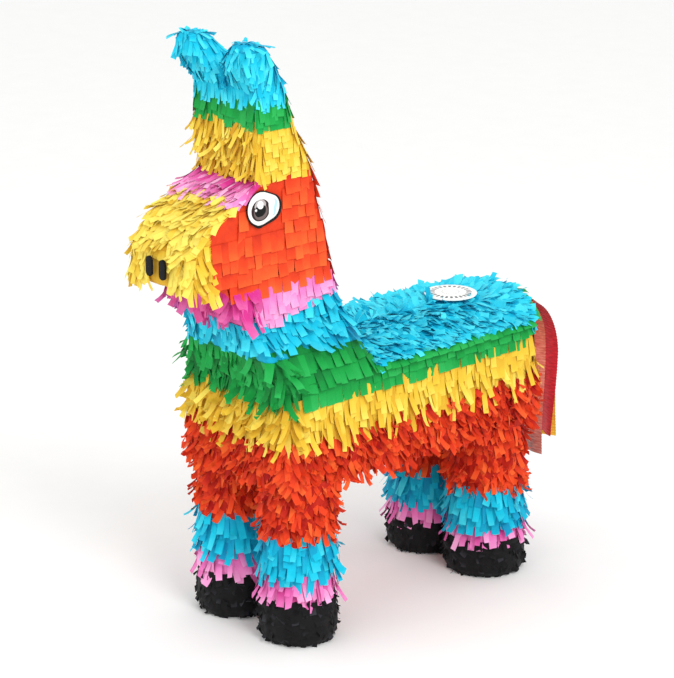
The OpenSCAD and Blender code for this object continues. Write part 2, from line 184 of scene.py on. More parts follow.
def patchy(material, size_mm, detail, dark, light, stretch=(1.0, 1.0, 1.0)):
    """A colour that varies between two linear ones in patches about size_mm across."""
    noise = object_noise(material, size_mm, detail, stretch)
    ramp = add_node(material, "ShaderNodeValToRGB", (), [("Fac", noise.outputs["Fac"])])
    ramp.color_ramp.elements[0].color, ramp.color_ramp.elements[1].color = dark, light
    return ramp.outputs["Color"]


def tissue_paper(name, deep, middle, light, roughness=0.72, grain=0.35):
    """Gift tissue: dyed unsized paper, calendered on one side, so it is matt with a faint sheen.
    Deep in the fringe the colour is darkened and saturated as painted shade, and a free tab's tip is
    made paler as painted light shining through it. The attribute "tone" runs from 0, deep, to 1, tip."""
    material = new_material(name)
    tone = add_node(material, "ShaderNodeAttribute", [("attribute_name", "tone")])
    blotch = object_noise(material, 9.0, 3.0)
    shifted = add_node(material, "ShaderNodeMath",
                       [("operation", "MULTIPLY_ADD"), (1, 0.34), (2, -0.17)],
                       [(0, blotch.outputs["Fac"])])
    mixed = add_node(material, "ShaderNodeMath", [("operation", "ADD"), ("use_clamp", True)],
                     [(0, tone.outputs["Fac"]), (1, shifted.outputs["Value"])])
    # painted shade and painted light: low tones take the dark deep colour, high tones the pale tip colour
    ramp = add_node(material, "ShaderNodeValToRGB", (), [("Fac", mixed.outputs["Value"])])
    stops = ramp.color_ramp.elements
    stops[0].color, stops[1].color = linear(deep), linear(light)
    stops[1].position = 0.95
    stops.new(0.5).color = middle
    # Crumple lines of tissue are 1 to 3 mm apart, and its fibre is drawn at 0.5 mm so that it shows
    crumple = object_noise(material, 2.2, 3.0)
    fibre = object_noise(material, 0.5, 1.0)
    relief = add_node(material, "ShaderNodeMath", [("operation", "MULTIPLY_ADD"), (1, 0.3)],
                      [(0, fibre.outputs["Fac"]), (2, crumple.outputs["Fac"])])
    bump = add_node(material, "ShaderNodeBump", [("Strength", grain), ("Distance", 0.6 * MM)],
                    [("Height", relief.outputs["Value"])])
    return close_material(
        material,
        [("Roughness", roughness), ("Specular IOR Level", 0.2), ("Sheen Weight", 0.04),
         ("Sheen Roughness", 0.5)],
        [("Base Color", ramp.outputs["Color"]), ("Normal", bump.outputs["Normal"])])


# ---------------------------------------------------------------- fringe

def unit(vectors):
    return vectors / np.maximum(np.linalg.norm(vectors, axis=-1, keepdims=True), 1e-12)


def lengths_along(path):
    """Length along a path of points up to each point: the running sum of its steps."""
    return np.concatenate([[0.0], np.cumsum(np.linalg.norm(np.diff(path, axis=0), axis=1))])


def sample(path, field, at):
    """A field given at a path's points, interpolated linearly at lengths along the path."""
    lengths = lengths_along(path)
    return np.stack([np.interp(at, lengths, field[:, k]) for k in range(field.shape[1])], axis=1)


def even(path, count, closed=False):
    """The path resampled to count points at even lengths along it."""
    at = np.linspace(0, lengths_along(path)[-1], count + 1 if closed else count)
    points = sample(path, path, at)
    return points[:-1] if closed else points


class Skin:
    """A surface given as paths with the same number of points, each next path further down the way
    that the tissue hangs, and running anticlockwise seen from above. Its outward normal is the
    hang direction times the path's direction."""

    def __init__(self, paths, closed, plumb=False):
        self.paths = np.asarray(paths)
        self.closed = closed
        self.plumb = plumb
        middle = self.paths[:, self.paths.shape[1] // 3]
        self.depth = lengths_along(middle)
        self.heights = middle[:, 2]

    def depth_at(self, height):
        """Distance down the skin at which its level paths have a height."""
        return float(np.interp(-height, -self.heights, self.depth))

    def at(self, depth):
        """The path at a depth, and the direction to the next one at each of its points."""
        k = int(np.clip(np.searchsorted(self.depth, depth) - 1, 0, len(self.depth) - 2))
        share = (depth - self.depth[k]) / (self.depth[k + 1] - self.depth[k])
        here = self.paths[k] * (1 - share) + self.paths[k + 1] * share
        return here, self.paths[k + 1] - self.paths[k]

    def row(self, rng, depth, width, vary):
        """Roots of one row of tabs: where each tab starts, its directions along the row, down and
        out, and its width. Widths vary about the mean and fill the row from end to end. On a plumb
        skin the tabs hang straight down the surface whatever way its paths are drawn."""
        here, step = self.at(depth)
        if self.closed:
            here, step = np.concatenate([here, here[:1]]), np.concatenate([step, step[:1]])
        total = lengths_along(here)[-1]
        count = max(3, int(total / width))
        widths = width * (1 + vary * rng.uniform(-1, 1, count))
        widths *= total / widths.sum()
        middles = np.cumsum(widths) - widths / 2
        root = sample(here, here, middles)
        ahead = sample(here, here, np.minimum(middles + 2 * MM, total))
        along = unit(ahead - sample(here, here, np.maximum(middles - 2 * MM, 0)))
        out = unit(np.cross(unit(sample(here, step, middles)), along))
        down = unit(np.cross(along, out))
        if self.plumb:
            down = unit(out * out[:, 2:] - UP)
            along = np.cross(out, down)
        return root, along, down, out, widths


# How a row of tabs lies. Angles are in degrees: lift at the root, curl and sway from root to tip,
# and twist about the tab's own length. Spread is the tab's width over its share of the row, taper
# how much narrower its tip is, vary how much lengths differ, cup the depth in millimetres that its
# width is hollowed, tone its colour, low for painted shade and high for painted light, and the last
# setting how much paler its tip is painted, as light shining through it.
NEAT = dict(lift=4, lift_vary=2, curl=4, curl_vary=9, sway=2.5, twist=5, taper=0.0, spread=1.02,
            vary=0.05, cup=0.5, tone=0.5, tone_vary=0.1, fade=0.4)
MESSY = dict(lift=14, lift_vary=12, curl=14, curl_vary=42, sway=17, twist=34, taper=0.1,
             spread=1.04, vary=0.2, cup=0.5, tone=0.5, tone_vary=0.17, fade=0.4)
TAB_STEPS, TAB_COLUMNS = 5, 3  # a tab's quads along its length, and points across its width


def neat(**changes):
    return {**NEAT, **changes}


def messy(**changes):
    return {**MESSY, **changes}


def crumpled_tabs():
    """Orange tabs that were ruffled by hand: they curl outwards and turn every way."""
    # A tone below the middle, varying widely, paints shade towards the deep red.
    return messy(lift=12, curl=24, curl_vary=62, sway=24, twist=46, tone=0.44, tone_vary=0.22)


def paper_tabs(rng, root, along, down, out, widths, length, how):
    """Tabs as bent strips. A tab's middle line leaves the surface at its lift angle and turns by
    its curl in proportion to the square of the way down; a sway angle in the surface turns it
    sideways and a twist angle turns its width about its own length. Its points are the running sum
    of those directions, and each cross row is spread along the turned width with a shallow cup."""
    count = len(root)
    s = np.linspace(0, 1, TAB_STEPS + 1)[None, :]

    def angles(mean, spread):
        return np.radians(mean + spread * rng.standard_normal(count))[:, None]

    tilt = np.abs(angles(how["lift"], how["lift_vary"])) + angles(how["curl"], how["curl_vary"]) * s ** 2
    sway = angles(0, how["sway"]) * (0.4 + s)
    twist = angles(0, how["twist"]) * s
    lengths = length * (1 + how["vary"] * np.clip(rng.standard_normal(count), -2, 2))[:, None, None]
    flat = down[:, None, :] * np.cos(sway)[..., None] + along[:, None, :] * np.sin(sway)[..., None]
    aside = along[:, None, :] * np.cos(sway)[..., None] - down[:, None, :] * np.sin(sway)[..., None]
    lead = flat * np.cos(tilt)[..., None] + out[:, None, :] * np.sin(tilt)[..., None]
    rise = out[:, None, :] * np.cos(tilt)[..., None] - flat * np.sin(tilt)[..., None]
    line = np.cumsum(np.concatenate([np.zeros((count, 1, 3)), lead[:, :-1] / TAB_STEPS], axis=1), axis=1)
    line = root[:, None, :] + line * lengths
    across = aside * np.cos(twist)[..., None] + rise * np.sin(twist)[..., None]
    face = rise * np.cos(twist)[..., None] - aside * np.sin(twist)[..., None]
    c = np.linspace(-1, 1, TAB_COLUMNS)
    half = widths[:, None] / 2 * how["spread"] * (1 - how["taper"] * s)
    cup = how["cup"] * MM * rng.uniform(-1, 1, count)[:, None] * s
    points = (line[:, :, None, :] + across[:, :, None, :] * (half[..., None] * c)[..., None]
              + face[:, :, None, :] * (cup[..., None] * c ** 2)[..., None])
    # A tab's tone varies at random, and rises from root to tip: painted shade at the root, painted light
    # through the tip.
    tone = how["tone"] + how["tone_vary"] * rng.standard_normal(count)[:, None] + how["fade"] * (s - 0.6)
    return points, np.repeat(tone[..., None], TAB_COLUMNS, axis=2)


def tab_faces(count):
    """Quads of all tabs, for points numbered tab by tab, then step by step, then column by column."""
    columns = TAB_COLUMNS
    k, i, j = np.meshgrid(np.arange(count), np.arange(TAB_STEPS), np.arange(columns - 1), indexing="ij")
    first = (k * (TAB_STEPS + 1) + i) * columns + j
    return np.stack([first, first + columns, first + 1 + columns, first + 1], axis=-1).reshape(-1, 4)


def grid_faces(rows, columns, closed):
    """Quads between neighbouring paths, for points numbered path by path."""
    i, j = np.meshgrid(np.arange(rows - 1), np.arange(columns if closed else columns - 1), indexing="ij")
    after = (j + 1) % columns
    return np.stack([i * columns + j, (i + 1) * columns + j, (i + 1) * columns + after,
                     i * columns + after], axis=-1).reshape(-1, 4)


def put_mesh(name, points, faces, tones=None, smooth=True):
    """A mesh object at the origin from points, quads and the tone of each point."""
    mesh = bpy.data.meshes.new(name)
    mesh.from_pydata(np.asarray(points).reshape(-1, 3).tolist(), [], np.asarray(faces).tolist())
    mesh.polygons.foreach_set("use_smooth", np.full(len(mesh.polygons), smooth))
    if tones is not None:
        attribute = mesh.attributes.new("tone", "FLOAT", "POINT")
        attribute.data.foreach_set("value", np.clip(tones, 0, 1).astype(np.float32).ravel())
    mesh.update()
    piece = bpy.data.objects.new(name, mesh)
    bpy.context.scene.collection.objects.link(piece)
    return piece


def dressed(piece, material, body, slot, *nodes):
    """Gives a piece its material and the body it rides on, and hides the nodes it replaces. The slot is
    not used.
    """
    piece.data.materials.append(material)
    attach(piece, body)
    if nodes:
        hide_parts(*nodes)
    return piece


def crumpled(rng, points, normals, depth):
    """Points pushed along their normals by the mean of folded sine waves with random directions
    and phases, which gives the low creases of pasted tissue."""
    push = np.zeros(points.shape[:-1])
    for wave in (37, 23, 17, 11, 8):
        direction = unit(rng.standard_normal(3))
        phase = points @ direction * 2 * math.pi / (wave * MM) + rng.uniform(0, 6.3)
        push += np.abs(np.sin(phase)) * wave
    return points + normals * (push / push.max() * depth)[..., None]


def everywhere(points):
    return np.ones(len(points), bool)


class Band:
    """One colour of fringe: its tabs, and the pasted tissue base under them."""

    def __init__(self, seed):
        self.rng = np.random.default_rng(seed)
        self.tabs = []
        self.bases = []

    def fringe(self, skin, depths, width, length, how, choose=everywhere, vary=0.25):
        """Hangs a row of tabs at each depth down a skin, where choose accepts their roots. The
        length may be a number or a function of the roots."""
        for depth in np.atleast_1d(depths):
            row = skin.row(self.rng, depth, width, vary)
            keep = choose(row[0])
            root, along, down, out, widths = (part[keep] for part in row)
            if len(root):
                lengths = length(root)[:, None, None] if callable(length) else length
                self.tabs.append(paper_tabs(self.rng, root + out * STAND, along, down, out, widths,
                                            lengths, how))

    def rows(self, skin, heights, *details, **more):
        """Hangs rows of like tabs at several heights of a skin."""
        self.fringe(skin, [skin.depth_at(height) for height in heights], *details, **more)

    def base(self, skin, choose=everywhere, crease=1.0 * MM, tone=0.22):
        """Pastes a crumpled base on a skin, over the faces whose centres choose accepts. Its tone is low
        by default, so that it takes the deep colour as painted shade under the tabs.
        """
        paths = skin.paths
        ahead = np.roll(paths, -1, axis=1) - np.roll(paths, 1, axis=1)
        if not skin.closed:
            ahead[:, 0], ahead[:, -1] = paths[:, 1] - paths[:, 0], paths[:, -1] - paths[:, -2]
        normals = unit(np.cross(unit(np.gradient(paths, axis=0)), unit(ahead)))
        points = crumpled(self.rng, paths, normals, crease).reshape(-1, 3)
        faces = grid_faces(paths.shape[0], paths.shape[1], skin.closed)
        faces = faces[choose(paths.reshape(-1, 3)[faces].mean(axis=1))]
        used, renumbered = np.unique(faces, return_inverse=True)
        self.bases.append((points[used], renumbered.reshape(-1, 4), np.full(len(used), tone)))

    def hang(self, node, colours, colour, body="body", ending="fringe"):
        """Makes the one piece that replaces a tissue node: the tabs, then the bases."""
        tabs = np.concatenate([made[0] for made in self.tabs])
        points, faces = [tabs.reshape(-1, 3)], [tab_faces(len(tabs))]
        tones = [np.concatenate([made[1] for made in self.tabs]).ravel()]
        for base_points, base_faces, base_tones in self.bases:
            faces.append(base_faces + sum(map(len, points)))
            points.append(base_points)
            tones.append(base_tones)
        points = np.clip(np.concatenate(points), ROOM_LOW, ROOM_HIGH)
        piece = put_mesh(f"{node}_{ending}", points, np.concatenate(faces), np.concatenate(tones))
        dressed(piece, tissue(getattr(colours, colour), colour), body, f"tissue_{colour}", node)


# ---------------------------------------------------------------- the donkey's skins

def at_height(plan, height):
    return np.concatenate([plan, np.full((len(plan), 1), height)], axis=1)


def body_plan(grow, front=None):
    """The body's plan, grown all round: straight sides from the chest, and an arc for the rump
    through both rear corners and the rump's rearmost point. With front given, the plan is open
    there, and otherwise it closes round the chest with small round corners."""
    bulge = RUMP_END - RUMP_Y
    radius = (BODY_HALF ** 2 + bulge ** 2) / (2 * bulge)
    half, reach = BODY_HALF + grow, radius + grow
    corner = math.asin(half / reach)
    turn = np.linspace(-corner, corner, 33)
    arc = np.stack([-reach * np.sin(turn), RUMP_END - radius + reach * np.cos(turn)], axis=1)
    if front is not None:
        return np.concatenate([[[half, front]], arc, [[-half, front]]])
    bend = min(6 * MM, half / 2)
    turn = np.linspace(0, math.pi / 2, 7)
    chest = CHEST_Y - grow
    right = np.stack([half - bend + bend * np.sin(turn), chest + bend - bend * np.cos(turn)], axis=1)
    left = np.stack([-half + bend - bend * np.cos(turn), chest + bend - bend * np.sin(turn)], axis=1)
    return np.concatenate([right, arc, left, right[:1]])


def box_plan(half, front, rear, bend=5 * MM, low_x=None):
    """A rectangle in plan with round corners, closed, anticlockwise from the middle of its front."""
    left = -half if low_x is None else low_x
    bend = min(bend, (half - left) / 2.01, (rear - front) / 2.01)
    turn = np.linspace(0, math.pi / 2, 7)
    path = [[[(half + left) / 2, front]]]
    for x, y, quarter in ((half, front, -1), (half, rear, 0), (left, rear, 1), (left, front, 2)):
        centre = np.array([x - math.copysign(bend, x - (half + left) / 2),
                           y - math.copysign(bend, y - (front + rear) / 2)])
        angle = turn + quarter * math.pi / 2
        path.append(centre + bend * np.stack([np.cos(angle), np.sin(angle)], axis=1))
    path.append(path[0])
    return np.concatenate(path)


def body_skin():
    """The body's upright sides, from the top edge down past the belly."""
    plan = even(at_height(body_plan(PAPER_LIFT), 0.0), 300, True)
    return Skin([plan + UP * z for z in np.linspace(EDGE_Z + 2 * MM, LEG_TOP - 3 * MM, 33)], True)


def belly_skin():
    """The underside, from its edges in to its middle line."""
    grows = np.linspace(PAPER_LIFT, 1 * MM - BODY_HALF, 24)
    return Skin([even(at_height(body_plan(g), LEG_TOP - PAPER_LIFT), 200, True) for g in grows], True)


def back_skin():
    """The folded back, from a line along its middle out to its edges and over the rump's rim. The
    height is level inside the scores and falls evenly outside them."""
    front = cut_at("shoulder_gusset_left", EDGE_Z + 2 * MM)[1][1] - 3 * MM
    flat = high("hanger_plate")[0] + 2 * MM
    paths = []
    for grow in np.linspace(0.05 * MM - BODY_HALF, PAPER_LIFT, 30):
        plan = even(at_height(body_plan(grow, front), 0.0), 170)
        fall = np.clip((np.abs(plan[:, 0]) - flat) / (BODY_HALF - flat), 0, 1.1)
        plan[:, 2] = BACK_Z - (BACK_Z - EDGE_Z) * fall + PAPER_LIFT
        paths.append(plan)
    rim = paths[-1].copy()
    rim[:, 2] = np.minimum(rim[:, 2], EDGE_Z + 1 * MM)
    return Skin(paths + [rim], False)


def shoulder_skin():
    """The shoulders, from the collar out to the body's top edges."""
    paths = []
    for z in np.linspace(SHOULDER_Z - 1 * MM, EDGE_Z + 1 * MM, 20):
        near, far = cut_at("shoulder_gusset_left", z)
        plan = box_plan(far[0] + PAPER_LIFT, near[1] - PAPER_LIFT, far[1] + PAPER_LIFT)
        paths.append(even(at_height(plan, z), 240, True))
    return Skin(paths, True, plumb=True)


def head_skin(top, bottom, count, cap=False):
    """A closed stretch of the neck or crown: rounded rectangles between the card's front and rear
    outline. The cap closes it on top with rectangles that shrink to its middle."""
    paths = []
    half = HEAD_HALF + PAPER_LIFT
    for z in np.linspace(top, bottom, count):
        near, far = cut_at("head_side_left", z)
        plan = box_plan(half, near[1] - PAPER_LIFT, far[1] + PAPER_LIFT, 4 * MM)
        paths.append(even(at_height(plan, z), 200, True))
    if cap:
        paths = capped(paths)
    return Skin(paths, True, plumb=not cap)


def neck_skin():
    return head_skin(JAW_Z - 1 * MM, SHOULDER_Z - 3 * MM, 26)


def capped(paths):
    """Paths with smaller copies of the first one put before them, drawn in towards its middle."""
    first = paths[0] + UP * PAPER_LIFT
    middle = first.mean(axis=0)
    return [middle + (first - middle) * share for share in (0.03, 0.3, 0.6, 0.85, 0.97)] + paths


def cheek_skin():
    """The sides and nape of the head: U-shaped levels, open at the face."""
    half = HEAD_HALF + PAPER_LIFT
    paths = []
    for z in np.linspace(high("nose_bridge_strip")[2] + 6 * MM, JAW_Z + 0.5 * MM, 44):
        near, far = cut_at("head_side_left", z)
        plan = box_plan(half, near[1] - 60 * MM, far[1] + PAPER_LIFT, 4 * MM)
        plan = plan[plan[:, 1] > near[1] - 1 * MM]
        plan = np.concatenate([[[half, near[1] - 1 * MM]], plan, [[-half, near[1] - 1 * MM]]])
        paths.append(even(at_height(plan, z), 240))
    return Skin(paths, False, plumb=True)


def face_skin():
    """The nose's top, the muzzle and the jaw's underside: straight paths across the head that
    follow the card's front outline, with their ends turned round the corners."""
    heights = np.arange(high("nose_bridge_strip")[2] - 0.2 * MM, JAW_Z + 0.3 * MM, -1 * MM)
    outline = np.array([[0, cut_at("head_side_left", z)[0][1], z] for z in heights])
    chin = outline[-1] - UP * 0.3 * MM
    outline = np.concatenate([outline, [chin, chin + [0, high("jaw_strip")[1] - chin[1], 0]]])
    path = even(outline, 110)
    ahead = unit(np.gradient(path, axis=0))
    normal = np.stack([np.zeros(len(path)), ahead[:, 2], -ahead[:, 1]], axis=1)
    half = HEAD_HALF + PAPER_LIFT
    x = np.linspace(-half, half, 60)
    edge = np.clip((np.abs(x) - (half - 3 * MM)) / (3 * MM), 0, 1)
    inset = PAPER_LIFT - (1 - np.sqrt(1 - edge ** 2 * 0.98)) * 3 * MM
    points = (path[:, None, :] + normal[:, None, :] * inset[None, :, None]
              + SIDEWAYS * x[None, :, None])
    return Skin(points, False)


HOOF_HEIGHT, HOOF_SWELL = 42 * MM, 2.5 * MM
SOLE_HEIGHT, SOLE_INSET = 8 * MM, 4 * MM


def leg_skin(node):
    """One leg, from under the belly down to the floor. The hoof swells by half a sine wave of its
    height, and is drawn in round the sole by the square of what is left of the sole's height."""
    near, far = low(node), high(node)
    centre, radius = (near + far) / 2, (far[0] - near[0]) / 2
    turn = np.linspace(0, 2 * math.pi, 96, endpoint=False)
    paths = []
    for z in np.linspace(far[2] + 2 * MM, 0.8 * MM, 48):
        swell = HOOF_SWELL * math.sin(math.pi * min(z / HOOF_HEIGHT, 1.0))
        grow = PAPER_LIFT + 1 * MM + swell - SOLE_INSET * max(0.0, 1 - z / SOLE_HEIGHT) ** 2
        paths.append(np.stack([centre[0] + (radius + grow) * np.cos(turn),
                               centre[1] + (radius + grow) * np.sin(turn),
                               np.full(len(turn), z)], axis=1))
    return Skin(paths, True)


def ear_skin(node):
    """One ear, from its tip down to the crown: rounded rectangles of the card's own extent at each
    height, closed at the tip."""
    paths = []
    for z in np.linspace(EAR_TIP_Z - 0.5 * MM, CROWN_Z + 0.5 * MM, 22):
        near, far = cut_at(node, z)
        plan = box_plan(far[0] + PAPER_LIFT, near[1] - PAPER_LIFT, far[1] + PAPER_LIFT, 4 * MM,
                        low_x=near[0] - PAPER_LIFT)
        paths.append(even(at_height(plan, z), 90, True))
    paths.append(paths[-1] - UP * 2.5 * MM)
    return Skin(capped(paths), True)


# ---------------------------------------------------------------- what a user can change

def tint(name, code, words):
    return bpy.props.FloatVectorProperty(
        name=name, description=words, default=linear(code)[:3], size=3, min=0, max=1, subtype="COLOR")


def distance(name, words, default, highest=0.1):
    return bpy.props.FloatProperty(name=name, description=words, default=default, min=0, max=highest,
                                   subtype="DISTANCE", unit="LENGTH")


class PinataTissue(bpy.types.PropertyGroup):
    """Colours of the tissue where it hangs in plain light."""
    blue: tint("Blue", "#04C0DE", "Back, chest, ears and legs")
    green: tint("Green", "#0C9A40", "Top band of the body, and crown")
    yellow: tint("Yellow", "#E9C036", "Middle band of the body, muzzle and crown")
    orange: tint("Orange", "#E6421A", "Lower body, cheeks and upper legs")
    pink: tint("Pink", "#EC7CC0", "Collar, brow and lower legs")
    black: tint("Black", "#121214", "Hooves")


class PinataFringe(bpy.types.PropertyGroup):
    """Sizes of the fringe's tabs."""
    body_width: distance("Body tab width", "Width of a tab on the body", 9 * MM)
    body_length: distance("Body tab length", "Length of a tab on the body", 19 * MM)
    leg_width: distance("Leg tab width", "Width of a tab on a leg", 8 * MM)
    leg_length: distance("Leg tab length", "Length of a tab on a leg", 22 * MM)
    strand_width: distance("Strand width", "Width of a strand on the face and ears", 4 * MM)
    strand_length: distance("Strand length", "Length of a strand on the face and ears", 25 * MM)


class PinataStudio(bpy.types.PropertyGroup):
    """The camera and the lights."""
    azimuth: bpy.props.FloatProperty(
        name="Azimuth", description="Which side the camera looks from", default=math.radians(48),
        subtype="ANGLE", unit="ROTATION")
    elevation: bpy.props.FloatProperty(
        name="Elevation", description="How far the camera looks down", default=math.radians(18),
        subtype="ANGLE", unit="ROTATION")
    reach: distance("Distance", "From the camera to the donkey's middle", 2.6, 20)
    key: bpy.props.FloatProperty(
        name="Key light", description="Power of the large light on the donkey's left", default=26,
        min=0, subtype="POWER", unit="POWER")
    fill: bpy.props.FloatProperty(
        name="Fill light", description="Power of the light in front of the donkey", default=7,
        min=0, subtype="POWER", unit="POWER")
    sky: bpy.props.FloatProperty(
        name="Room light", description="Strength of the even light all round", default=0.96, min=0)


def hexed(colour):
    """A linear colour from a property, with its alpha."""
    return (*colour, 1.0)


# ---------------------------------------------------------------- card, wire and printed paper

def corrugated_card():
    """Kraft-faced corrugated board: brown, matt, with short darker fibres and faint flute lines
    about 7 mm apart that show through its liner."""
    material = new_material("Kraft corrugated board, cut and scored")
    brown = patchy(material, 3.0, 4.0, linear("#8F6A42"), linear("#C39B6B"), (1.0, 1.0, 0.25))
    place = add_node(material, "ShaderNodeTexCoord")
    flutes = add_node(material, "ShaderNodeTexWave",
                      [("bands_direction", "Z"), ("Scale", 1 / (7 * MM) / 6.28), ("Distortion", 0.4)],
                      [("Vector", place.outputs["Object"])])
    bump = add_node(material, "ShaderNodeBump", [("Strength", 0.25), ("Distance", 0.4 * MM)],
                    [("Height", flutes.outputs["Fac"])])
    return close_material(material, [("Roughness", 0.85), ("Specular IOR Level", 0.25)],
                          [("Base Color", brown), ("Normal", bump.outputs["Normal"])])


def pressed_board():
    """Greyboard under the back: denser than the corrugated card, with a fleck every 1.5 mm."""
    material = new_material("Pressed greyboard, die-cut")
    flecked = patchy(material, 1.5, 5.0, linear("#86735A"), linear("#B9A789"))
    return close_material(material, [("Roughness", 0.8)], [("Base Color", flecked)])


def black_card():
    """Dyed black paper on the soles: matt, greyed where it has rubbed, in patches 6 mm across."""
    material = new_material("Black sugar paper, glued")
    rubbed = patchy(material, 6.0, 4.0, linear("#0A0A0B"), linear("#1E1E21"))
    return close_material(material, [("Roughness", 0.75), ("Specular IOR Level", 0.2)],
                          [("Base Color", rubbed)])


def drawn_wire():
    """Bright drawn steel wire: metallic, with fine drawing lines that make its gloss uneven."""
    material = new_material("Drawn steel wire")
    lines = object_noise(material, 1.0, 2.0, (0.2, 1.0, 1.0))
    gloss = add_node(material, "ShaderNodeMapRange", [("To Min", 0.25), ("To Max", 0.45)],
                     [("Value", lines.outputs["Fac"])])
    return close_material(material, [("Base Color", linear("#A9ABAD")), ("Metallic", 1.0)],
                          [("Roughness", gloss.outputs["Result"])])


def crepe_paper(name, deep, light):
    """Crepe streamer: paper wrinkled across its length, so that it stretches. Ridges 1.6 mm apart run
    across the ribbon, read from its own UV map, which is in metres; a real ridge is finer, about
    0.8 mm, and is drawn coarser so that it shows."""
    material = new_material(name)
    place = add_node(material, "ShaderNodeUVMap", [("uv_map", "ribbon")])
    stretched = add_node(material, "ShaderNodeMapping", [("Scale", (0.22, 1.0, 1.0))],
                         [("Vector", place.outputs["UV"])])
    ridge = add_node(material, "ShaderNodeTexNoise", [("Scale", 1 / (1.6 * MM)), ("Detail", 3.0)],
                     [("Vector", stretched.outputs["Vector"])])
    # The colour follows the ridges, darker in their valleys and paler on their crests: painted shade and
    # painted light of the crinkles.
    ramp = add_node(material, "ShaderNodeValToRGB", (), [("Fac", ridge.outputs["Fac"])])
    ramp.color_ramp.elements[0].position, ramp.color_ramp.elements[0].color = 0.3, linear(deep)
    ramp.color_ramp.elements[1].position, ramp.color_ramp.elements[1].color = 0.68, linear(light)
    bump = add_node(material, "ShaderNodeBump", [("Strength", 0.6), ("Distance", 0.5 * MM)],
                    [("Height", ridge.outputs["Fac"])])
    return close_material(
        material, [("Roughness", 0.62), ("Specular IOR Level", 0.4), ("Sheen Weight", 0.15)],
        [("Base Color", ramp.outputs["Color"]), ("Normal", bump.outputs["Normal"])])


def printed_paper(name, code, roughness=0.35):
    """Coated paper, offset printed in one flat ink and die-cut: a low satin gloss, and ink that
    varies a little over 4 mm patches."""
    material = new_material(name)
    full = linear(code)
    ink = patchy(material, 4.0, 2.0, (*(c * 0.9 for c in full[:3]), 1.0), full)
    return close_material(material, [("Roughness", roughness), ("Specular IOR Level", 0.2)],
                          [("Base Color", ink)])


def tissue(colour, name):
    """The tissue of one colour: its own deep colour of painted shade and tip colour of painted light about
    the user's middle one.
    """
    deep, light = TISSUE_PAINTED_SHADE_AND_LIGHT[name]
    return tissue_paper(f"Tissue paper, dyed {name}", deep, hexed(colour), light)


TISSUE_PAINTED_SHADE_AND_LIGHT = {  # hex colours of each tissue: painted shade deep in the fringe, and painted light at a tab's tip
    "blue": ("#0590BC", "#48E0F2"), "green": ("#04662B", "#2CB458"), "yellow": ("#CC9420", "#F6E264"),
    "orange": ("#A80A08", "#F2682C"), "pink": ("#D02E8A", "#F8B4DE"), "black": ("#050506", "#36363C"),
}


# ---------------------------------------------------------------- where each colour lies

LEG_BANDS = {"front": (39, 59, 100), "rear": (30, 46, 82)}  # tops of black, pink and blue, mm
COLLAR = (up(147), up(174))  # from the shoulders' tips up to the cheek's tips
CROWN = (up(271), up(319), up(339))  # tips of the yellow, green and blue
GREEN_FOOT = up(71)
YELLOW_FOOT = up(34)


def green_top(y):
    """Height that the green reaches on the body: up over the shoulder at the front."""
    return np.interp(y, CHEST_Y + np.array([0, 67, 111, 154]) * MM, up(np.array([121, 117, 109, 97])))


def collar_foot(y):
    """Height of the pink collar's tips, which rises from the throat to the nape."""
    return np.interp(y, CHEST_Y + np.array([-30, 0, 60, 100]) * MM, up(np.array([145, 146, 157, 162])))


def cheek_front(z):
    """Where the cheek's orange gives way to the muzzle's yellow on the head's sides."""
    return np.interp(z, [up(172), up(262)], CHEST_Y + np.array([-56, -68]) * MM)


def over_fill(points, grow):
    """Whether points lie over the fill hole, grown by a margin, seen from above."""
    hole = (low("fill_flap") + high("fill_flap")) / 2
    return np.linalg.norm(points[:, :2] - hole[:2], axis=1) < high("fill_flap")[0] + grow


def near_hole(points, grow):
    """Whether points lie over the fill hole or a cord hole, grown by a margin, seen from above."""
    over = over_fill(points, grow)
    for mount in frame["record"]["mounts"]:
        if mount["kind"] == "bore":
            reach = mount["dims"]["r_mm"] * MM + grow
            over |= np.linalg.norm(points[:, :2] - np.array(mount["pos_m"][:2]), axis=1) < reach
    return over


def at_front(points, margin=9 * MM):
    return points[:, 1] < CHEST_Y + margin


def by_eye(points):
    """Whether a root lies under an eye, or so close above one that its tab would hang over it."""
    near, far = low("eye_left"), high("eye_left")
    inside = (points[:, 1] > near[1] - 1 * MM) & (points[:, 1] < far[1] + 1 * MM)
    return inside & (points[:, 2] > near[2] + 2 * MM) & (points[:, 2] < far[2] + 10 * MM)


# ---------------------------------------------------------------- pieces

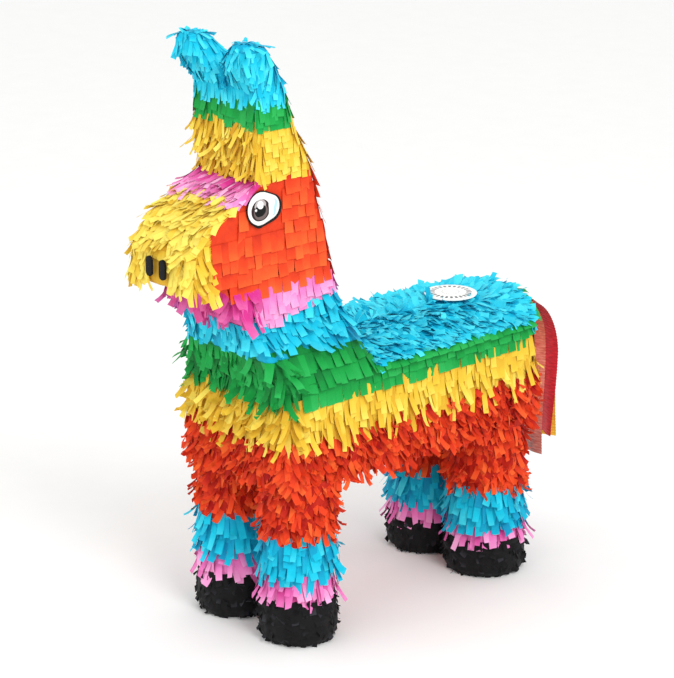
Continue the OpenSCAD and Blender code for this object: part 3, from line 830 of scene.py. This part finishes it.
def make_body_fringe(sizes, colours):
    body, back, shoulder, belly = body_skin(), back_skin(), shoulder_skin(), belly_skin()
    neck = neck_skin()
    w, l = sizes.body_width, sizes.body_length

    blue = Band(11)
    blue.base(back, lambda p: ~near_hole(p, 1 * MM), 2.5 * MM, 0.5)
    clear = lambda p: ~over_fill(p, 5 * MM)
    blue.fringe(back, 1 * MM, 0.7 * w, 0.6 * l,
                messy(lift=34, lift_vary=20, curl=10, curl_vary=60, sway=60, tone=0.74, fade=0.15), clear)
    blue.fringe(back, np.arange(4 * MM, back.depth[-1] - 12 * MM, 6 * MM), 0.65 * w, 0.7 * l,
                messy(lift=9, lift_vary=8, curl=-8, curl_vary=36, tone=0.74, fade=0.15), clear)
    blue.fringe(back, back.depth[-1] - 10 * MM, 0.7 * w, 0.62 * l,
                messy(lift=10, curl=-44, curl_vary=24, tone=0.62))
    rim = back.depth[-1] - back.depth[-2]
    blue.fringe(back, back.depth[-1] - np.array([0.9, 0.6, 0.3, 0.05]) * rim, 0.65 * w, 0.6 * l,
                messy(lift=8, lift_vary=6, curl=-6, curl_vary=36, tone=0.7, fade=0.15),
                lambda p: p[:, 1] > RUMP_Y - 2 * MM)
    blue.hang("tissue_back_blue", colours, "blue")

    chest = Band(12)
    chest.base(shoulder, lambda p: p[:, 2] > green_top(p[:, 1]) - 4 * MM)
    chest.base(neck, lambda p: p[:, 2] < collar_foot(p[:, 1]) + 6 * MM)
    for skin, heights in ((neck, (170, 164, 157, 151, 145)), (shoulder, np.arange(142, 102, -7))):
        chest.rows(skin, up(np.array(heights)), 0.75 * w, 0.85 * l,
                   messy(lift=11, sway=11, twist=20, curl_vary=26, tone=0.55),
                   lambda p: (p[:, 2] > green_top(p[:, 1]) + 9 * MM)
                   & (p[:, 2] < collar_foot(p[:, 1]) + 12 * MM))
    chest.hang("tissue_chest_blue", colours, "blue")

    green = Band(13)
    green.base(body, lambda p: p[:, 2] > GREEN_FOOT - 4 * MM)
    green.base(shoulder, lambda p: p[:, 2] < green_top(p[:, 1]) + 4 * MM)
    under = lambda p: p[:, 2] < green_top(p[:, 1]) + 4 * MM
    for skin, height in ((body, 89), (shoulder, 103), (shoulder, 117)):
        depth = skin.depth_at(up(height))
        green.fringe(skin, depth, w, l, neat(), lambda p: under(p) & ~at_front(p), 0.15)
        green.fringe(skin, [depth, depth + 6 * MM], 0.7 * w, 0.9 * l, messy(),
                     lambda p: under(p) & at_front(p))
    green.fringe(body, body.depth_at(EDGE_Z + 1.5 * MM), w, 0.7 * l, neat(lift=9),
                 lambda p: p[:, 1] > high("shoulder_gusset_left")[1] - 4 * MM, 0.15)
    green.fringe(back, back.depth[-1] - 5 * MM, w, 0.65 * l, neat(lift=3, curl=-62), everywhere, 0.15)
    green.hang("tissue_body_green", colours, "green")

    yellow = Band(14)
    yellow.base(body, lambda p: (p[:, 2] < GREEN_FOOT + 6 * MM) & (p[:, 2] > YELLOW_FOOT - 2 * MM))
    yellow.rows(body, [up(82)], 0.72 * w, 1.15 * l, neat(curl_vary=16, twist=10, sway=5, vary=0.1))
    yellow.rows(body, [up(71)], 0.66 * w, 1.2 * l,
                neat(curl_vary=20, twist=16, sway=7, vary=0.12, lift=6))
    yellow.rows(body, [up(61), up(53)], 0.58 * w, 1.25 * l,
                messy(lift=8, curl=8, curl_vary=24, sway=12, twist=24, vary=0.22))
    yellow.rows(body, up(np.array([76, 67, 58])), 0.6 * w, 1.1 * l,
                messy(lift=26, curl=50, curl_vary=60), lambda p: at_front(p, 16 * MM))
    yellow.hang("tissue_body_yellow", colours, "yellow")

    orange = Band(15)
    orange.base(body, lambda p: p[:, 2] < YELLOW_FOOT + 6 * MM, 2.5 * MM, 0.1)
    orange.base(belly)
    orange.rows(body, up(np.arange(44, 2, -5)), 0.55 * w, 0.78 * l, crumpled_tabs())
    orange.fringe(belly, np.arange(4, belly.depth[-1] / MM - 8, 12) * MM, 1.5 * w, 0.9 * l,
                  messy(lift=8, curl=-6, curl_vary=16, twist=12))
    orange.hang("tissue_body_orange", colours, "orange")


def make_head_fringe(sizes, colours):
    neck = neck_skin()
    crown = head_skin(CROWN_Z - 0.5 * MM, high("nose_bridge_strip")[2] - 2 * MM, 40, cap=True)
    cheek, face = cheek_skin(), face_skin()
    strand, long = sizes.strand_width, sizes.strand_length
    w = sizes.body_width
    z_of = lambda p: p[:, 2]
    brow_y = CHEST_Y - 33 * MM  # half-way down the nose's top
    on_face = lambda p: p[:, 1] < low("forehead_strip")[1] + 4 * MM
    chin_y = low("jaw_strip")[1]

    pink = Band(21)
    pink.base(neck, lambda p: (z_of(p) < COLLAR[1] + 6 * MM) & (z_of(p) > collar_foot(p[:, 1]) + 2 * MM))
    throat = lambda p: p[:, 1] < low("throat_strip")[1] + 30 * MM
    for height in (183, 177, 171):
        depth = neck.depth_at(up(height))
        drop = lambda p: np.maximum(z_of(p) - collar_foot(p[:, 1]) - (height - 171) * 0.7 * MM, 9 * MM)
        pink.fringe(neck, depth, 0.9 * w, drop, neat(lift=8, curl=12, curl_vary=14, twist=10, sway=5,
                                                     tone=0.6, vary=0.1), lambda p: ~throat(p))
        # Tabs on the throat get a low tone: painted shade on the front of the collar, which faces away
        # from the key light.
        pink.fringe(neck, depth, 0.7 * w, 0.9 * long, messy(tone=0.16, tone_vary=0.1), throat)
    pink.hang("tissue_collar_pink", colours, "pink")

    orange = Band(22)
    behind = lambda p: p[:, 1] > cheek_front(p[:, 2])
    orange.base(cheek, behind, tone=0.4)
    orange.base(neck, lambda p: z_of(p) > COLLAR[1] + 2 * MM)
    orange.base(face, lambda p: (z_of(p) < JAW_Z + 1 * MM) & (p[:, 1] > chin_y + 26 * MM))
    below_brow = lambda p: (p[:, 1] > CHEST_Y - 30 * MM) | (z_of(p) < up(236))
    orange.rows(cheek, up(np.arange(278, 196, -12)), w, 17 * MM, neat(tone=0.58),
                lambda p: behind(p) & ~by_eye(p) & below_brow(p), 0.12)
    orange.rows(neck, [up(190)], w, 16 * MM, neat(tone=0.58))
    orange.fringe(face, face.depth[-1] - 9 * MM, w, 10 * MM, neat())
    orange.hang("tissue_cheek_orange", colours, "orange")

    yellow = Band(23)
    before_jaw = lambda p: (z_of(p) > JAW_Z + 1 * MM) | (p[:, 1] < chin_y + 28 * MM)
    yellow.base(face, lambda p: (p[:, 1] < brow_y) & before_jaw(p), 1.2 * MM)
    yellow.base(cheek, lambda p: ~behind(p), 1.2 * MM)
    near, far = low("nostrils"), high("nostrils")

    def clear(p):
        beside = np.abs(p[:, 0]) > far[0] + 2 * MM
        past = (z_of(p) > far[2] + 12 * MM) | (z_of(p) < near[2])
        return (p[:, 1] < brow_y + 12 * MM) & (beside | past)

    yellow.fringe(face, np.arange(22, 119, 5.5) * MM, 1.35 * strand, 0.66 * long,
                  messy(lift=5, lift_vary=5, curl=4, curl_vary=24, sway=22, twist=20, tone=0.84, fade=0.2),
                  clear)
    yellow.fringe(face, face.depth_at(far[2] + 5 * MM), 1.3 * strand, 9 * MM, neat(tone=0.6),
                  lambda p: np.abs(p[:, 0]) < far[0] + 3 * MM)
    yellow.rows(cheek, up(np.arange(252, 192, -7)), 1.3 * strand, 0.7 * long,
                messy(lift=8, curl_vary=26, twist=22, sway=16), lambda p: ~behind(p))
    yellow.hang("tissue_muzzle_yellow", colours, "yellow")

    brow = Band(24)
    brow.base(face, lambda p: p[:, 1] > brow_y - 3 * MM, 1.2 * MM, 0.15)
    for depth, tone in ((1, 0.25), (5, 0.7), (9, 0.85), (13, 0.4), (17, 0.85), (21, 0.75)):
        brow.fringe(face, depth * MM, 1.1 * strand, 0.7 * long,
                    messy(lift=5, lift_vary=5, curl=0, curl_vary=18, sway=16, twist=16, tone=tone))
    brow.hang("tissue_brow_pink", colours, "pink")

    crown_yellow = Band(25)
    crown_yellow.base(crown, lambda p: z_of(p) < CROWN[1] + 4 * MM)
    for height in np.arange(329, 286, -5.5):
        depth = crown.depth_at(up(height))
        crown_yellow.fringe(crown, depth, 5.5 * MM, 16 * MM, neat(), lambda p: ~on_face(p), 0.15)
        crown_yellow.fringe(crown, depth, 0.9 * strand, 0.75 * long,
                            messy(lift=7, curl=8, curl_vary=26, sway=20, twist=20), on_face)
    crown_yellow.hang("tissue_crown_yellow", colours, "yellow")

    crown_green = Band(26)
    crown_green.base(crown, lambda p: (z_of(p) > CROWN[1]) & (z_of(p) < CROWN[2] + 4 * MM))
    crown_green.rows(crown, [up(348), up(343), up(338)], 0.8 * w, 19 * MM, neat(sway=4, curl_vary=12))
    crown_green.hang("tissue_crown_green", colours, "green")

    crown_blue = Band(27)
    crown_blue.base(crown, lambda p: z_of(p) > CROWN[2])
    crown_blue.rows(crown, [up(355), up(351)], strand, 14 * MM, neat(curl_vary=16, sway=6, tone=0.64))
    crown_blue.fringe(crown, np.array([5, 10, 15]) * MM, 1.3 * strand, 7 * MM,
                      messy(lift=8, curl=-20, tone=0.6))
    crown_blue.hang("tissue_crown_blue", colours, "blue")

    for k, side in enumerate(SIDES):
        ear = Band(28 + k)
        skin = ear_skin(f"ear_{side}")
        ear.base(skin, crease=1.5 * MM)
        ear.rows(skin, up(np.arange(363, 396, 4)), 1.1 * strand, 0.55 * long,
                 messy(lift=3, lift_vary=4, curl=-4, curl_vary=22, sway=13, twist=20, tone=0.64))
        ear.fringe(skin, np.array([2, 5, 8, 11]) * MM, 1.2 * strand, 0.22 * long,
                   messy(lift=4, curl=-30, curl_vary=40, tone=0.6))
        ear.hang(f"tissue_ear_{side}", colours, "blue")


def make_leg_fringe(sizes, colours):
    w, l = sizes.leg_width, sizes.leg_length
    bands = {name: Band(31 + k) for k, name in enumerate(("orange", "blue", "pink", "black"))}
    for end in LEG_ENDS:
        black_z, pink_z, blue_z = (z * MM for z in LEG_BANDS[end])
        for side in SIDES:
            skin = leg_skin(f"leg_tube_{end}_{side}")
            between = lambda top, foot: lambda p: (p[:, 2] < top) & (p[:, 2] > foot)
            bands["orange"].base(skin, between(1, blue_z - 2 * MM), 3 * MM, 0.1)
            bands["blue"].base(skin, between(blue_z + 6 * MM, pink_z - 2 * MM), 2 * MM)
            bands["pink"].base(skin, between(pink_z + 6 * MM, black_z - 2 * MM), 2 * MM)
            bands["black"].base(skin, between(black_z + 6 * MM, 0), 4 * MM, 0.3)
            heights = np.arange(blue_z + 0.6 * l, up(1), 5 * MM)
            bands["orange"].rows(skin, heights, 0.62 * w, 0.68 * l, crumpled_tabs())
            # The blue and pink leg tabs get low tones: painted shade, as the legs stand under the body.
            heights = np.arange(pink_z + 0.8 * l, blue_z + 12 * MM, 6 * MM)
            bands["blue"].rows(skin, heights, 0.85 * w, 0.9 * l,
                               messy(lift=9, curl_vary=24, sway=9, twist=18, tone=0.34))
            heights = np.arange(black_z + 0.8 * l, pink_z + 12 * MM, 6 * MM)
            bands["pink"].rows(skin, heights, 0.8 * w, 0.9 * l,
                               messy(lift=8, curl_vary=24, sway=9, twist=16, tone=0.46))
            heights = np.arange(7 * MM, black_z + 8 * MM, 5.5 * MM)
            bands["black"].rows(skin, heights, 0.7 * w, 0.36 * l,
                                messy(lift=12, curl=-8, curl_vary=60, tone=0.4))
    for name, node in (("orange", "tissue_leg_orange"), ("blue", "tissue_leg_blue"),
                       ("pink", "tissue_leg_pink"), ("black", "tissue_hoof_black")):
        bands[name].hang(node, colours, name)


def rounded_hull(circles, count=96):
    """The outline of a band stretched round circles: in each direction, the circle that reaches
    furthest gives the point."""
    turn = np.linspace(0, 2 * math.pi, 720, endpoint=False)
    ways = np.stack([np.cos(turn), np.sin(turn)], axis=1)
    centres = np.array([c[:2] for c in circles])
    radii = np.array([c[2] for c in circles])
    reach = ways @ centres.T + radii
    pick = reach.argmax(axis=1)
    outline = centres[pick] + ways * radii[pick, None]
    return even(np.concatenate([outline, outline[:1]]), count, True)


def paper_disc(name, outline, middle, across, upward, out, thickness, lifts=0.0):
    """A flat die-cut shape: copies of its outline drawn in towards its centre make the front, with
    the last one turned down over the cut edge. Its centre rises by lifts."""
    centre = outline.mean(axis=0)
    shares = np.array([0.01, 0.3, 0.6, 0.85, 0.985, 1.0, 1.0])
    rises = np.array([1, 1, 1, 1, 1, 0.8, 0]) * thickness + lifts * (1 - shares ** 2)
    flat = centre + (outline - centre)[None] * shares[:, None, None]
    points = (middle + flat[..., :1] * across + flat[..., 1:] * upward
              + rises[:, None, None] * out)
    faces = grid_faces(len(shares), len(outline), True)
    if np.dot(np.cross(across, upward), out) < 0:
        faces = faces[:, ::-1]
    return put_mesh(name, points, faces)


EYE_REAR, EYE_TOP = 20 * MM, 16.5 * MM  # from the eye's centre to its rear and upper edges
EYE_SINK = 2 * MM  # how far the eye's cut edge goes down into the tissue under it


def make_face_papers():
    inks = {
        "outline": printed_paper("Printed paper, black line", "#050506", 0.5),
        "white": printed_paper("Printed paper, bare white", "#F4F4F2", 0.3),
        "shade": printed_paper("Printed paper, pale blue tint", "#B9DCE4", 0.3),
        "iris": printed_paper("Printed paper, dark brown", "#2E1D1F", 0.4),
        "ring": printed_paper("Printed paper, warm grey", "#6E5E5D", 0.4),
        "sheen": printed_paper("Printed paper, pale warm grey", "#B9B2B1", 0.4),
    }
    layers = (  # ink, circles as (forwards, up, radius), height of its front above the first one
        ("outline", [(3.5, 0.5, 16), (-7.4, -0.4, 12.5), (5.4, -10.4, 6)], 0.0),
        ("white", [(4.1, 1.0, 14.6), (-6.0, 0.6, 11.0), (5.8, -8.8, 5.0)], 0.25),
        ("shade", [(-10.0, 3.2, 4.4), (-9.2, -4.4, 3.2)], 0.4),
        ("white_inner", [(-7.6, 3.2, 4.8), (-6.9, -4.2, 3.6)], 0.5),
        ("iris", [(5.4, -0.3, 9.6), (3.8, -0.3, 9.6)], 0.6),
        ("sheen", [(5.0, 2.6, 6.9)], 0.7),
        ("ring", [(5.1, -1.7, 7.4), (4.1, -1.7, 7.4)], 0.75),
        ("pupil", [(5.8, -0.6, 5.7), (4.6, -0.6, 5.7)], 0.9),
        ("glint", [(5.3, 4.5, 3.6), (4.9, 2.6, 2.7)], 1.05),
        ("glint_small", [(10.2, 0.6, 1.2)], 1.05),
    )
    ink_of = {"white_inner": "white", "pupil": "outline", "glint": "white", "glint_small": "white"}
    for side in SIDES:
        near, far = low(f"eye_{side}"), high(f"eye_{side}")
        sign = 1 if side == "left" else -1
        face = (near[0] if sign > 0 else far[0]) - sign * EYE_SINK
        middle = np.array([face, far[1] - EYE_REAR, far[2] - EYE_TOP])
        for layer, circles, rise in layers:
            outline = rounded_hull([[v * MM for v in c] for c in circles])
            disc = paper_disc(f"eye_{side}_{layer}", outline, middle, np.array([0, -1.0, 0]), UP,
                              np.array([sign, 0, 0.0]), 1.0 * MM + rise * MM, 0.3 * MM)
            dressed(disc, inks[ink_of.get(layer, layer)], "body", "printed_paper",
                    *([f"eye_{side}"] if layer == "outline" else []))
    near, far = low("nostrils"), high("nostrils")
    oval = rounded_hull([(0, 5 * MM, 4 * MM), (0, -5 * MM, 4 * MM)])
    black = black_card()
    for side, x in (("left", far[0] - 4 * MM), ("right", near[0] + 4 * MM)):
        middle = np.array([x, near[1] + 2.5 * MM, (near[2] + far[2]) / 2])
        disc = paper_disc(f"nostril_{side}", oval, middle, SIDEWAYS, UP,
                          np.array([0, -1.0, 0]), 2.2 * MM, 0.5 * MM)
        dressed(disc, black, "body", "black_paper", *(["nostrils"] if side == "left" else []))


SEAL_DASHES = 24.0
SEAL_RINGS = ((0.12, 0.0), (0.3, 0.6), (0.34, 0.0), (0.6, 1.0))  # share of the radius, ink from there


def make_seal(sizes, colours):
    near, far = low("paper_seal"), high("paper_seal")
    radius = (far[0] - near[0]) / 2
    middle = np.array([0, near[1] + radius, far[2]])
    white = new_material("Coated paper seal, printed and die-cut")
    place = add_node(white, "ShaderNodeTexCoord")
    centred = add_node(white, "ShaderNodeMapping",
                       [("Location", tuple(-middle / radius)), ("Scale", (1 / radius,) * 3)],
                       [("Vector", place.outputs["Object"])])
    parts = add_node(white, "ShaderNodeSeparateXYZ", (), [("Vector", centred.outputs["Vector"])])
    flat = add_node(white, "ShaderNodeCombineXYZ", (),
                    [("X", parts.outputs["X"]), ("Y", parts.outputs["Y"])])
    reach = add_node(white, "ShaderNodeVectorMath", [("operation", "LENGTH")],
                     [(0, flat.outputs["Vector"])])
    turn = add_node(white, "ShaderNodeMath", [("operation", "ARCTAN2")],
                    [(0, parts.outputs["Y"]), (1, parts.outputs["X"])])
    beads = add_node(white, "ShaderNodeMath", [("operation", "MULTIPLY"), (1, SEAL_DASHES)],
                     [(0, turn.outputs["Value"])])
    wave = add_node(white, "ShaderNodeMath", [("operation", "SINE")], [(0, beads.outputs["Value"])])
    dash = add_node(white, "ShaderNodeMath", [("operation", "GREATER_THAN"), (1, -0.1)],
                    [(0, wave.outputs["Value"])])
    rings = add_node(white, "ShaderNodeValToRGB", (), [("Fac", reach.outputs["Value"])])
    ring = rings.color_ramp
    ring.interpolation = "CONSTANT"
    ring.elements[0].color = ring.elements[1].color = (0, 0, 0, 1)
    ring.elements[1].position = 0.8
    for at, value in SEAL_RINGS:
        ring.elements.new(at).color = (value, value, value, 1)
    ink = add_node(white, "ShaderNodeMath", [("operation", "MULTIPLY")],
                   [(0, rings.outputs["Color"]), (1, dash.outputs["Value"])])
    colour = add_node(white, "ShaderNodeMix", [("data_type", "RGBA"), (6, linear("#F6F6F3")),
                                               (7, linear("#5A5C60"))], [(0, ink.outputs["Value"])])
    close_material(white, [("Roughness", 0.35)], [("Base Color", colour.outputs[2])])
    disc = paper_disc("paper_seal_disc", rounded_hull([(0, 0, radius)]), middle - UP * 0.8 * MM,
                      SIDEWAYS, np.array([0, 1.0, 0]), UP, 0.8 * MM, 0.8 * MM)
    dressed(disc, white, "fill_flap", "printed_paper", "paper_seal")

    tuft = Band(41)
    near, far = low("flap_tissue"), high("flap_tissue")
    centre, reach = (near + far) / 2, far[0]
    turn = np.linspace(0, 2 * math.pi, 80, endpoint=False)
    ring_of = lambda r, z: np.stack([centre[0] + r * np.cos(turn), centre[1] + r * np.sin(turn),
                                     np.full(80, z)], axis=1)
    skin = Skin([ring_of(r * reach, z * MM + near[2]) for r, z in
                 ((0.02, 5.6), (0.3, 5.6), (0.6, 5.5), (0.85, 4.8), (0.97, 3), (1.0, 0.2))], True)
    tuft.base(skin, crease=0.6 * MM)
    tuft.fringe(skin, np.array([13, 17, 20]) * MM, 0.6 * sizes.body_width, 9 * MM,
                messy(lift=4, curl=6, curl_vary=22))
    tuft.hang("flap_tissue", colours, "blue", "fill_flap", "tuft")


TAIL_BEND = 1.5  # height of a streamer's bend over its reach behind the wire
TAIL_HELD, TAIL_LOOSENS = 20 * MM, 60 * MM  # length that hangs true, and length till it moves freely
STREAMER_HALF = 0.4 * MM  # half the thickness of a streamer's solid
STREAMERS = (  # name, hex colour of the painted shade in the crepe's valleys, and of the painted light on its crests
    ("blue", "#0E9CC8", "#4FCDEB"), ("orange", "#D8430E", "#F9762C"), ("salmon", "#D8604C", "#F7A08C"),
    ("red", "#BE0A22", "#EE2E40"), ("yellow", "#DFA50C", "#F9DB45"), ("teal", "#08697F", "#1C9BB3"))


def make_tail():
    """Crepe streamers. Each is a ribbon whose middle line leaves the wire backwards, turns down
    through a quarter ellipse as deep as the bend times its reach, and falls straight; its width is
    carried along the line, and turned, waved and crinkled by sines of the length along it."""
    for k, (name, deep, light) in enumerate(STREAMERS):
        rng = np.random.default_rng(51 + k)
        near, far = low(f"streamer_{name}"), high(f"streamer_{name}")
        width = far[0] - near[0]
        start = np.array([near[1], far[2] - STREAMER_HALF])
        reach, fall = far[1] - near[1] - STREAMER_HALF, far[2] - near[2] - STREAMER_HALF
        quarter = np.linspace(0, math.pi / 2, 40)
        line = np.stack([start[0] + reach * np.sin(quarter),
                         start[1] - TAIL_BEND * reach * (1 - np.cos(quarter))], axis=1)
        line = np.concatenate([line, [[start[0] + reach, start[1] - fall]]])
        line = even(np.concatenate([np.zeros((len(line), 1)), line], axis=1), 260)
        length = lengths_along(line)[-1]
        s = np.linspace(0, length, len(line))
        ahead = unit(np.gradient(line, axis=0))
        out = np.stack([np.zeros(len(line)), -ahead[:, 2], ahead[:, 1]], axis=1)
        loose = np.clip((s - TAIL_HELD) / TAIL_LOOSENS, 0, 1)
        a, b, c = rng.uniform(0, 6.3, 3)
        turn = loose * (0.22 * np.sin(s / (55 * MM) + a) + 0.12 * np.sin(s / (23 * MM) + b))
        sway = loose * 1.6 * MM * np.sin(s / (38 * MM) + c)
        v = np.linspace(-1, 1, 13)
        slant = 2.2 * np.sin(v * 2.3 + a)[None]
        crinkle = 0.22 * MM * np.sin(s[:, None] * 2 * math.pi / (3.1 * MM) + slant)
        hollow = loose[:, None] * 1.1 * MM * np.sin(v * 2.6 + b)[None]
        across = SIDEWAYS * np.cos(turn)[:, None] + out * np.sin(turn)[:, None]
        points = (line[:, None] + across[:, None] * (v * width / 2)[None, :, None]
                  + out[:, None] * (crinkle + hollow + sway[:, None])[..., None])
        points = points + SIDEWAYS * ((near[0] + far[0]) / 2)
        piece = put_mesh(f"streamer_{name}_crepe", points, grid_faces(len(s), len(v), False))
        uv = piece.data.uv_layers.new(name="ribbon")
        corners = np.empty(len(piece.data.loops), np.int32)
        piece.data.loops.foreach_get("vertex_index", corners)
        flat = np.stack(np.broadcast_arrays((v * width / 2)[None], s[:, None]), axis=-1).reshape(-1, 2)
        uv.data.foreach_set("uv", flat[corners].ravel())
        dressed(piece, crepe_paper(f"Crepe paper, {name}", deep, light), "tail", f"crepe_{name}",
                f"streamer_{name}")


def dress_card():
    card, black = corrugated_card(), black_card()
    special = {"hanger_plate": pressed_board(), "tail_wire": drawn_wire()}
    for name, piece in frame["nodes"].items():
        if name.startswith(("tissue_", "streamer_", "eye_", "nostrils", "flap_tissue", "paper_seal")):
            continue
        material = special.get(name, black if name.startswith("hoof_sole") else card)
        if not piece.material_slots:
            piece.data.materials.append(material)
        for one in piece.material_slots:
            one.material = material


FLOOR_REACH = 6.0  # from the floor's middle to its edges, in metres
LIGHT_AIM = Vector((0, 0, 0.28))  # what the lights point at, half-way up the donkey
SENSOR = 36.0  # millimetres
LENS_PER_METRE = 58.2  # focal length in millimetres for each metre of distance, to keep the framing


def make_stage(studio):
    floor_paper = new_material("Seamless background paper, matt")
    white = patchy(floor_paper, 40.0, 2.0, linear("#F8F8F7"), linear("#FCFCFB"))
    close_material(floor_paper, [("Roughness", 0.9), ("Specular IOR Level", 0.1)], [("Base Color", white)])
    corners = [[x * FLOOR_REACH, y * FLOOR_REACH, 0] for x, y in ((-1, -1), (1, -1), (1, 1), (-1, 1))]
    floor = put_mesh("floor", corners, [[0, 1, 2, 3]], smooth=False)
    floor.data.materials.append(floor_paper)

    scene = bpy.context.scene
    scene.view_settings.view_transform = "Standard"
    world = bpy.data.worlds.new("Even room light")
    world.use_nodes = True
    background = world.node_tree.nodes["Background"]
    background.inputs["Color"].default_value = linear("#FFFFFF")
    background.inputs["Strength"].default_value = studio.sky
    scene.world = world

    for name, place, size, power in (
            ("key_light", (1.9, -0.6, 1.9), 0.9, studio.key),
            ("fill_light", (-0.9, -2.2, 1.2), 1.6, studio.fill)):
        light = bpy.data.lights.new(name, "AREA")
        light.size, light.energy = size, power
        lamp = bpy.data.objects.new(name, light)
        scene.collection.objects.link(lamp)
        lamp.location = place
        lamp.rotation_euler = (LIGHT_AIM - Vector(place)).to_track_quat("-Z", "Y").to_euler()

    a, e = studio.azimuth, studio.elevation
    target = Vector((0, CHEST_Y + 118 * MM, up(98)))
    back = Vector((math.sin(a) * math.cos(e), -math.cos(a) * math.cos(e), math.sin(e)))
    lens = bpy.data.cameras.new("camera")
    lens.sensor_width, lens.lens = SENSOR, LENS_PER_METRE * studio.reach
    lens.clip_end = 50.0
    camera = bpy.data.objects.new("camera", lens)
    scene.collection.objects.link(camera)
    camera.location = target + back * studio.reach
    camera.rotation_euler = back.to_track_quat("Z", "Y").to_euler()
    scene.camera = camera


# ---------------------------------------------------------------- operators

class PINATA_OT_card(bpy.types.Operator):
    """Gives the card body, the hanging plate, the soles and the tail wire their materials"""
    bl_idname = "pinata.card"
    bl_label = "Card and Wire"

    def execute(self, context):
        dress_card()
        return {"FINISHED"}


class PINATA_OT_body_fringe(bpy.types.Operator):
    """Hangs the bands of fringe on the body, back and shoulders"""
    bl_idname = "pinata.body_fringe"
    bl_label = "Body Fringe"

    def execute(self, context):
        make_body_fringe(context.scene.pinata_fringe, context.scene.pinata_tissue)
        return {"FINISHED"}


class PINATA_OT_head_fringe(bpy.types.Operator):
    """Hangs the bands of fringe on the neck, head and ears"""
    bl_idname = "pinata.head_fringe"
    bl_label = "Head Fringe"

    def execute(self, context):
        make_head_fringe(context.scene.pinata_fringe, context.scene.pinata_tissue)
        return {"FINISHED"}


class PINATA_OT_leg_fringe(bpy.types.Operator):
    """Hangs the bands of fringe round the legs and wraps the hooves"""
    bl_idname = "pinata.leg_fringe"
    bl_label = "Leg Fringe"

    def execute(self, context):
        make_leg_fringe(context.scene.pinata_fringe, context.scene.pinata_tissue)
        return {"FINISHED"}


class PINATA_OT_face(bpy.types.Operator):
    """Sticks on the eyes and the nostrils"""
    bl_idname = "pinata.face"
    bl_label = "Eyes and Nostrils"

    def execute(self, context):
        make_face_papers()
        return {"FINISHED"}


class PINATA_OT_seal(bpy.types.Operator):
    """Closes the fill flap with its tissue and its paper seal"""
    bl_idname = "pinata.seal"
    bl_label = "Fill Flap Seal"

    def execute(self, context):
        make_seal(context.scene.pinata_fringe, context.scene.pinata_tissue)
        return {"FINISHED"}


class PINATA_OT_tail(bpy.types.Operator):
    """Hangs the crepe streamers from the tail wire"""
    bl_idname = "pinata.tail"
    bl_label = "Tail Streamers"

    def execute(self, context):
        make_tail()
        return {"FINISHED"}


class PINATA_OT_stage(bpy.types.Operator):
    """Lays the floor and sets the lights and the camera"""
    bl_idname = "pinata.stage"
    bl_label = "Stage"

    def execute(self, context):
        make_stage(context.scene.pinata_studio)
        return {"FINISHED"}


OPERATORS = (PINATA_OT_stage, PINATA_OT_card, PINATA_OT_body_fringe, PINATA_OT_head_fringe,
             PINATA_OT_leg_fringe, PINATA_OT_face, PINATA_OT_seal, PINATA_OT_tail)
GROUPS = (PinataTissue, PinataFringe, PinataStudio)


class PINATA_PT_panel(bpy.types.Panel):
    """Lists the sizes, the colours and the pieces in the 3D view's sidebar"""
    bl_idname = "PINATA_PT_panel"
    bl_label = "Donkey Pinata"
    bl_space_type = "VIEW_3D"
    bl_region_type = "UI"
    bl_category = "Pinata"

    def draw(self, context):
        for group in (context.scene.pinata_tissue, context.scene.pinata_fringe,
                      context.scene.pinata_studio):
            box = self.layout.box()
            for name in group.__annotations__:
                box.prop(group, name)
        for operator in OPERATORS:
            self.layout.operator(operator.bl_idname)


def register():
    for one in (*GROUPS, *OPERATORS, PINATA_PT_panel):
        bpy.utils.register_class(one)
    bpy.types.Scene.pinata_tissue = bpy.props.PointerProperty(type=PinataTissue)
    bpy.types.Scene.pinata_fringe = bpy.props.PointerProperty(type=PinataFringe)
    bpy.types.Scene.pinata_studio = bpy.props.PointerProperty(type=PinataStudio)


def unregister():
    del bpy.types.Scene.pinata_tissue, bpy.types.Scene.pinata_fringe, bpy.types.Scene.pinata_studio
    for one in reversed((*GROUPS, *OPERATORS, PINATA_PT_panel)):
        bpy.utils.unregister_class(one)


def main():
    register()
    for name in ("stage", "card", "body_fringe", "head_fringe", "leg_fringe", "face", "seal", "tail"):
        getattr(bpy.ops.pinata, name)()


if __name__ == "__main__":
    main()
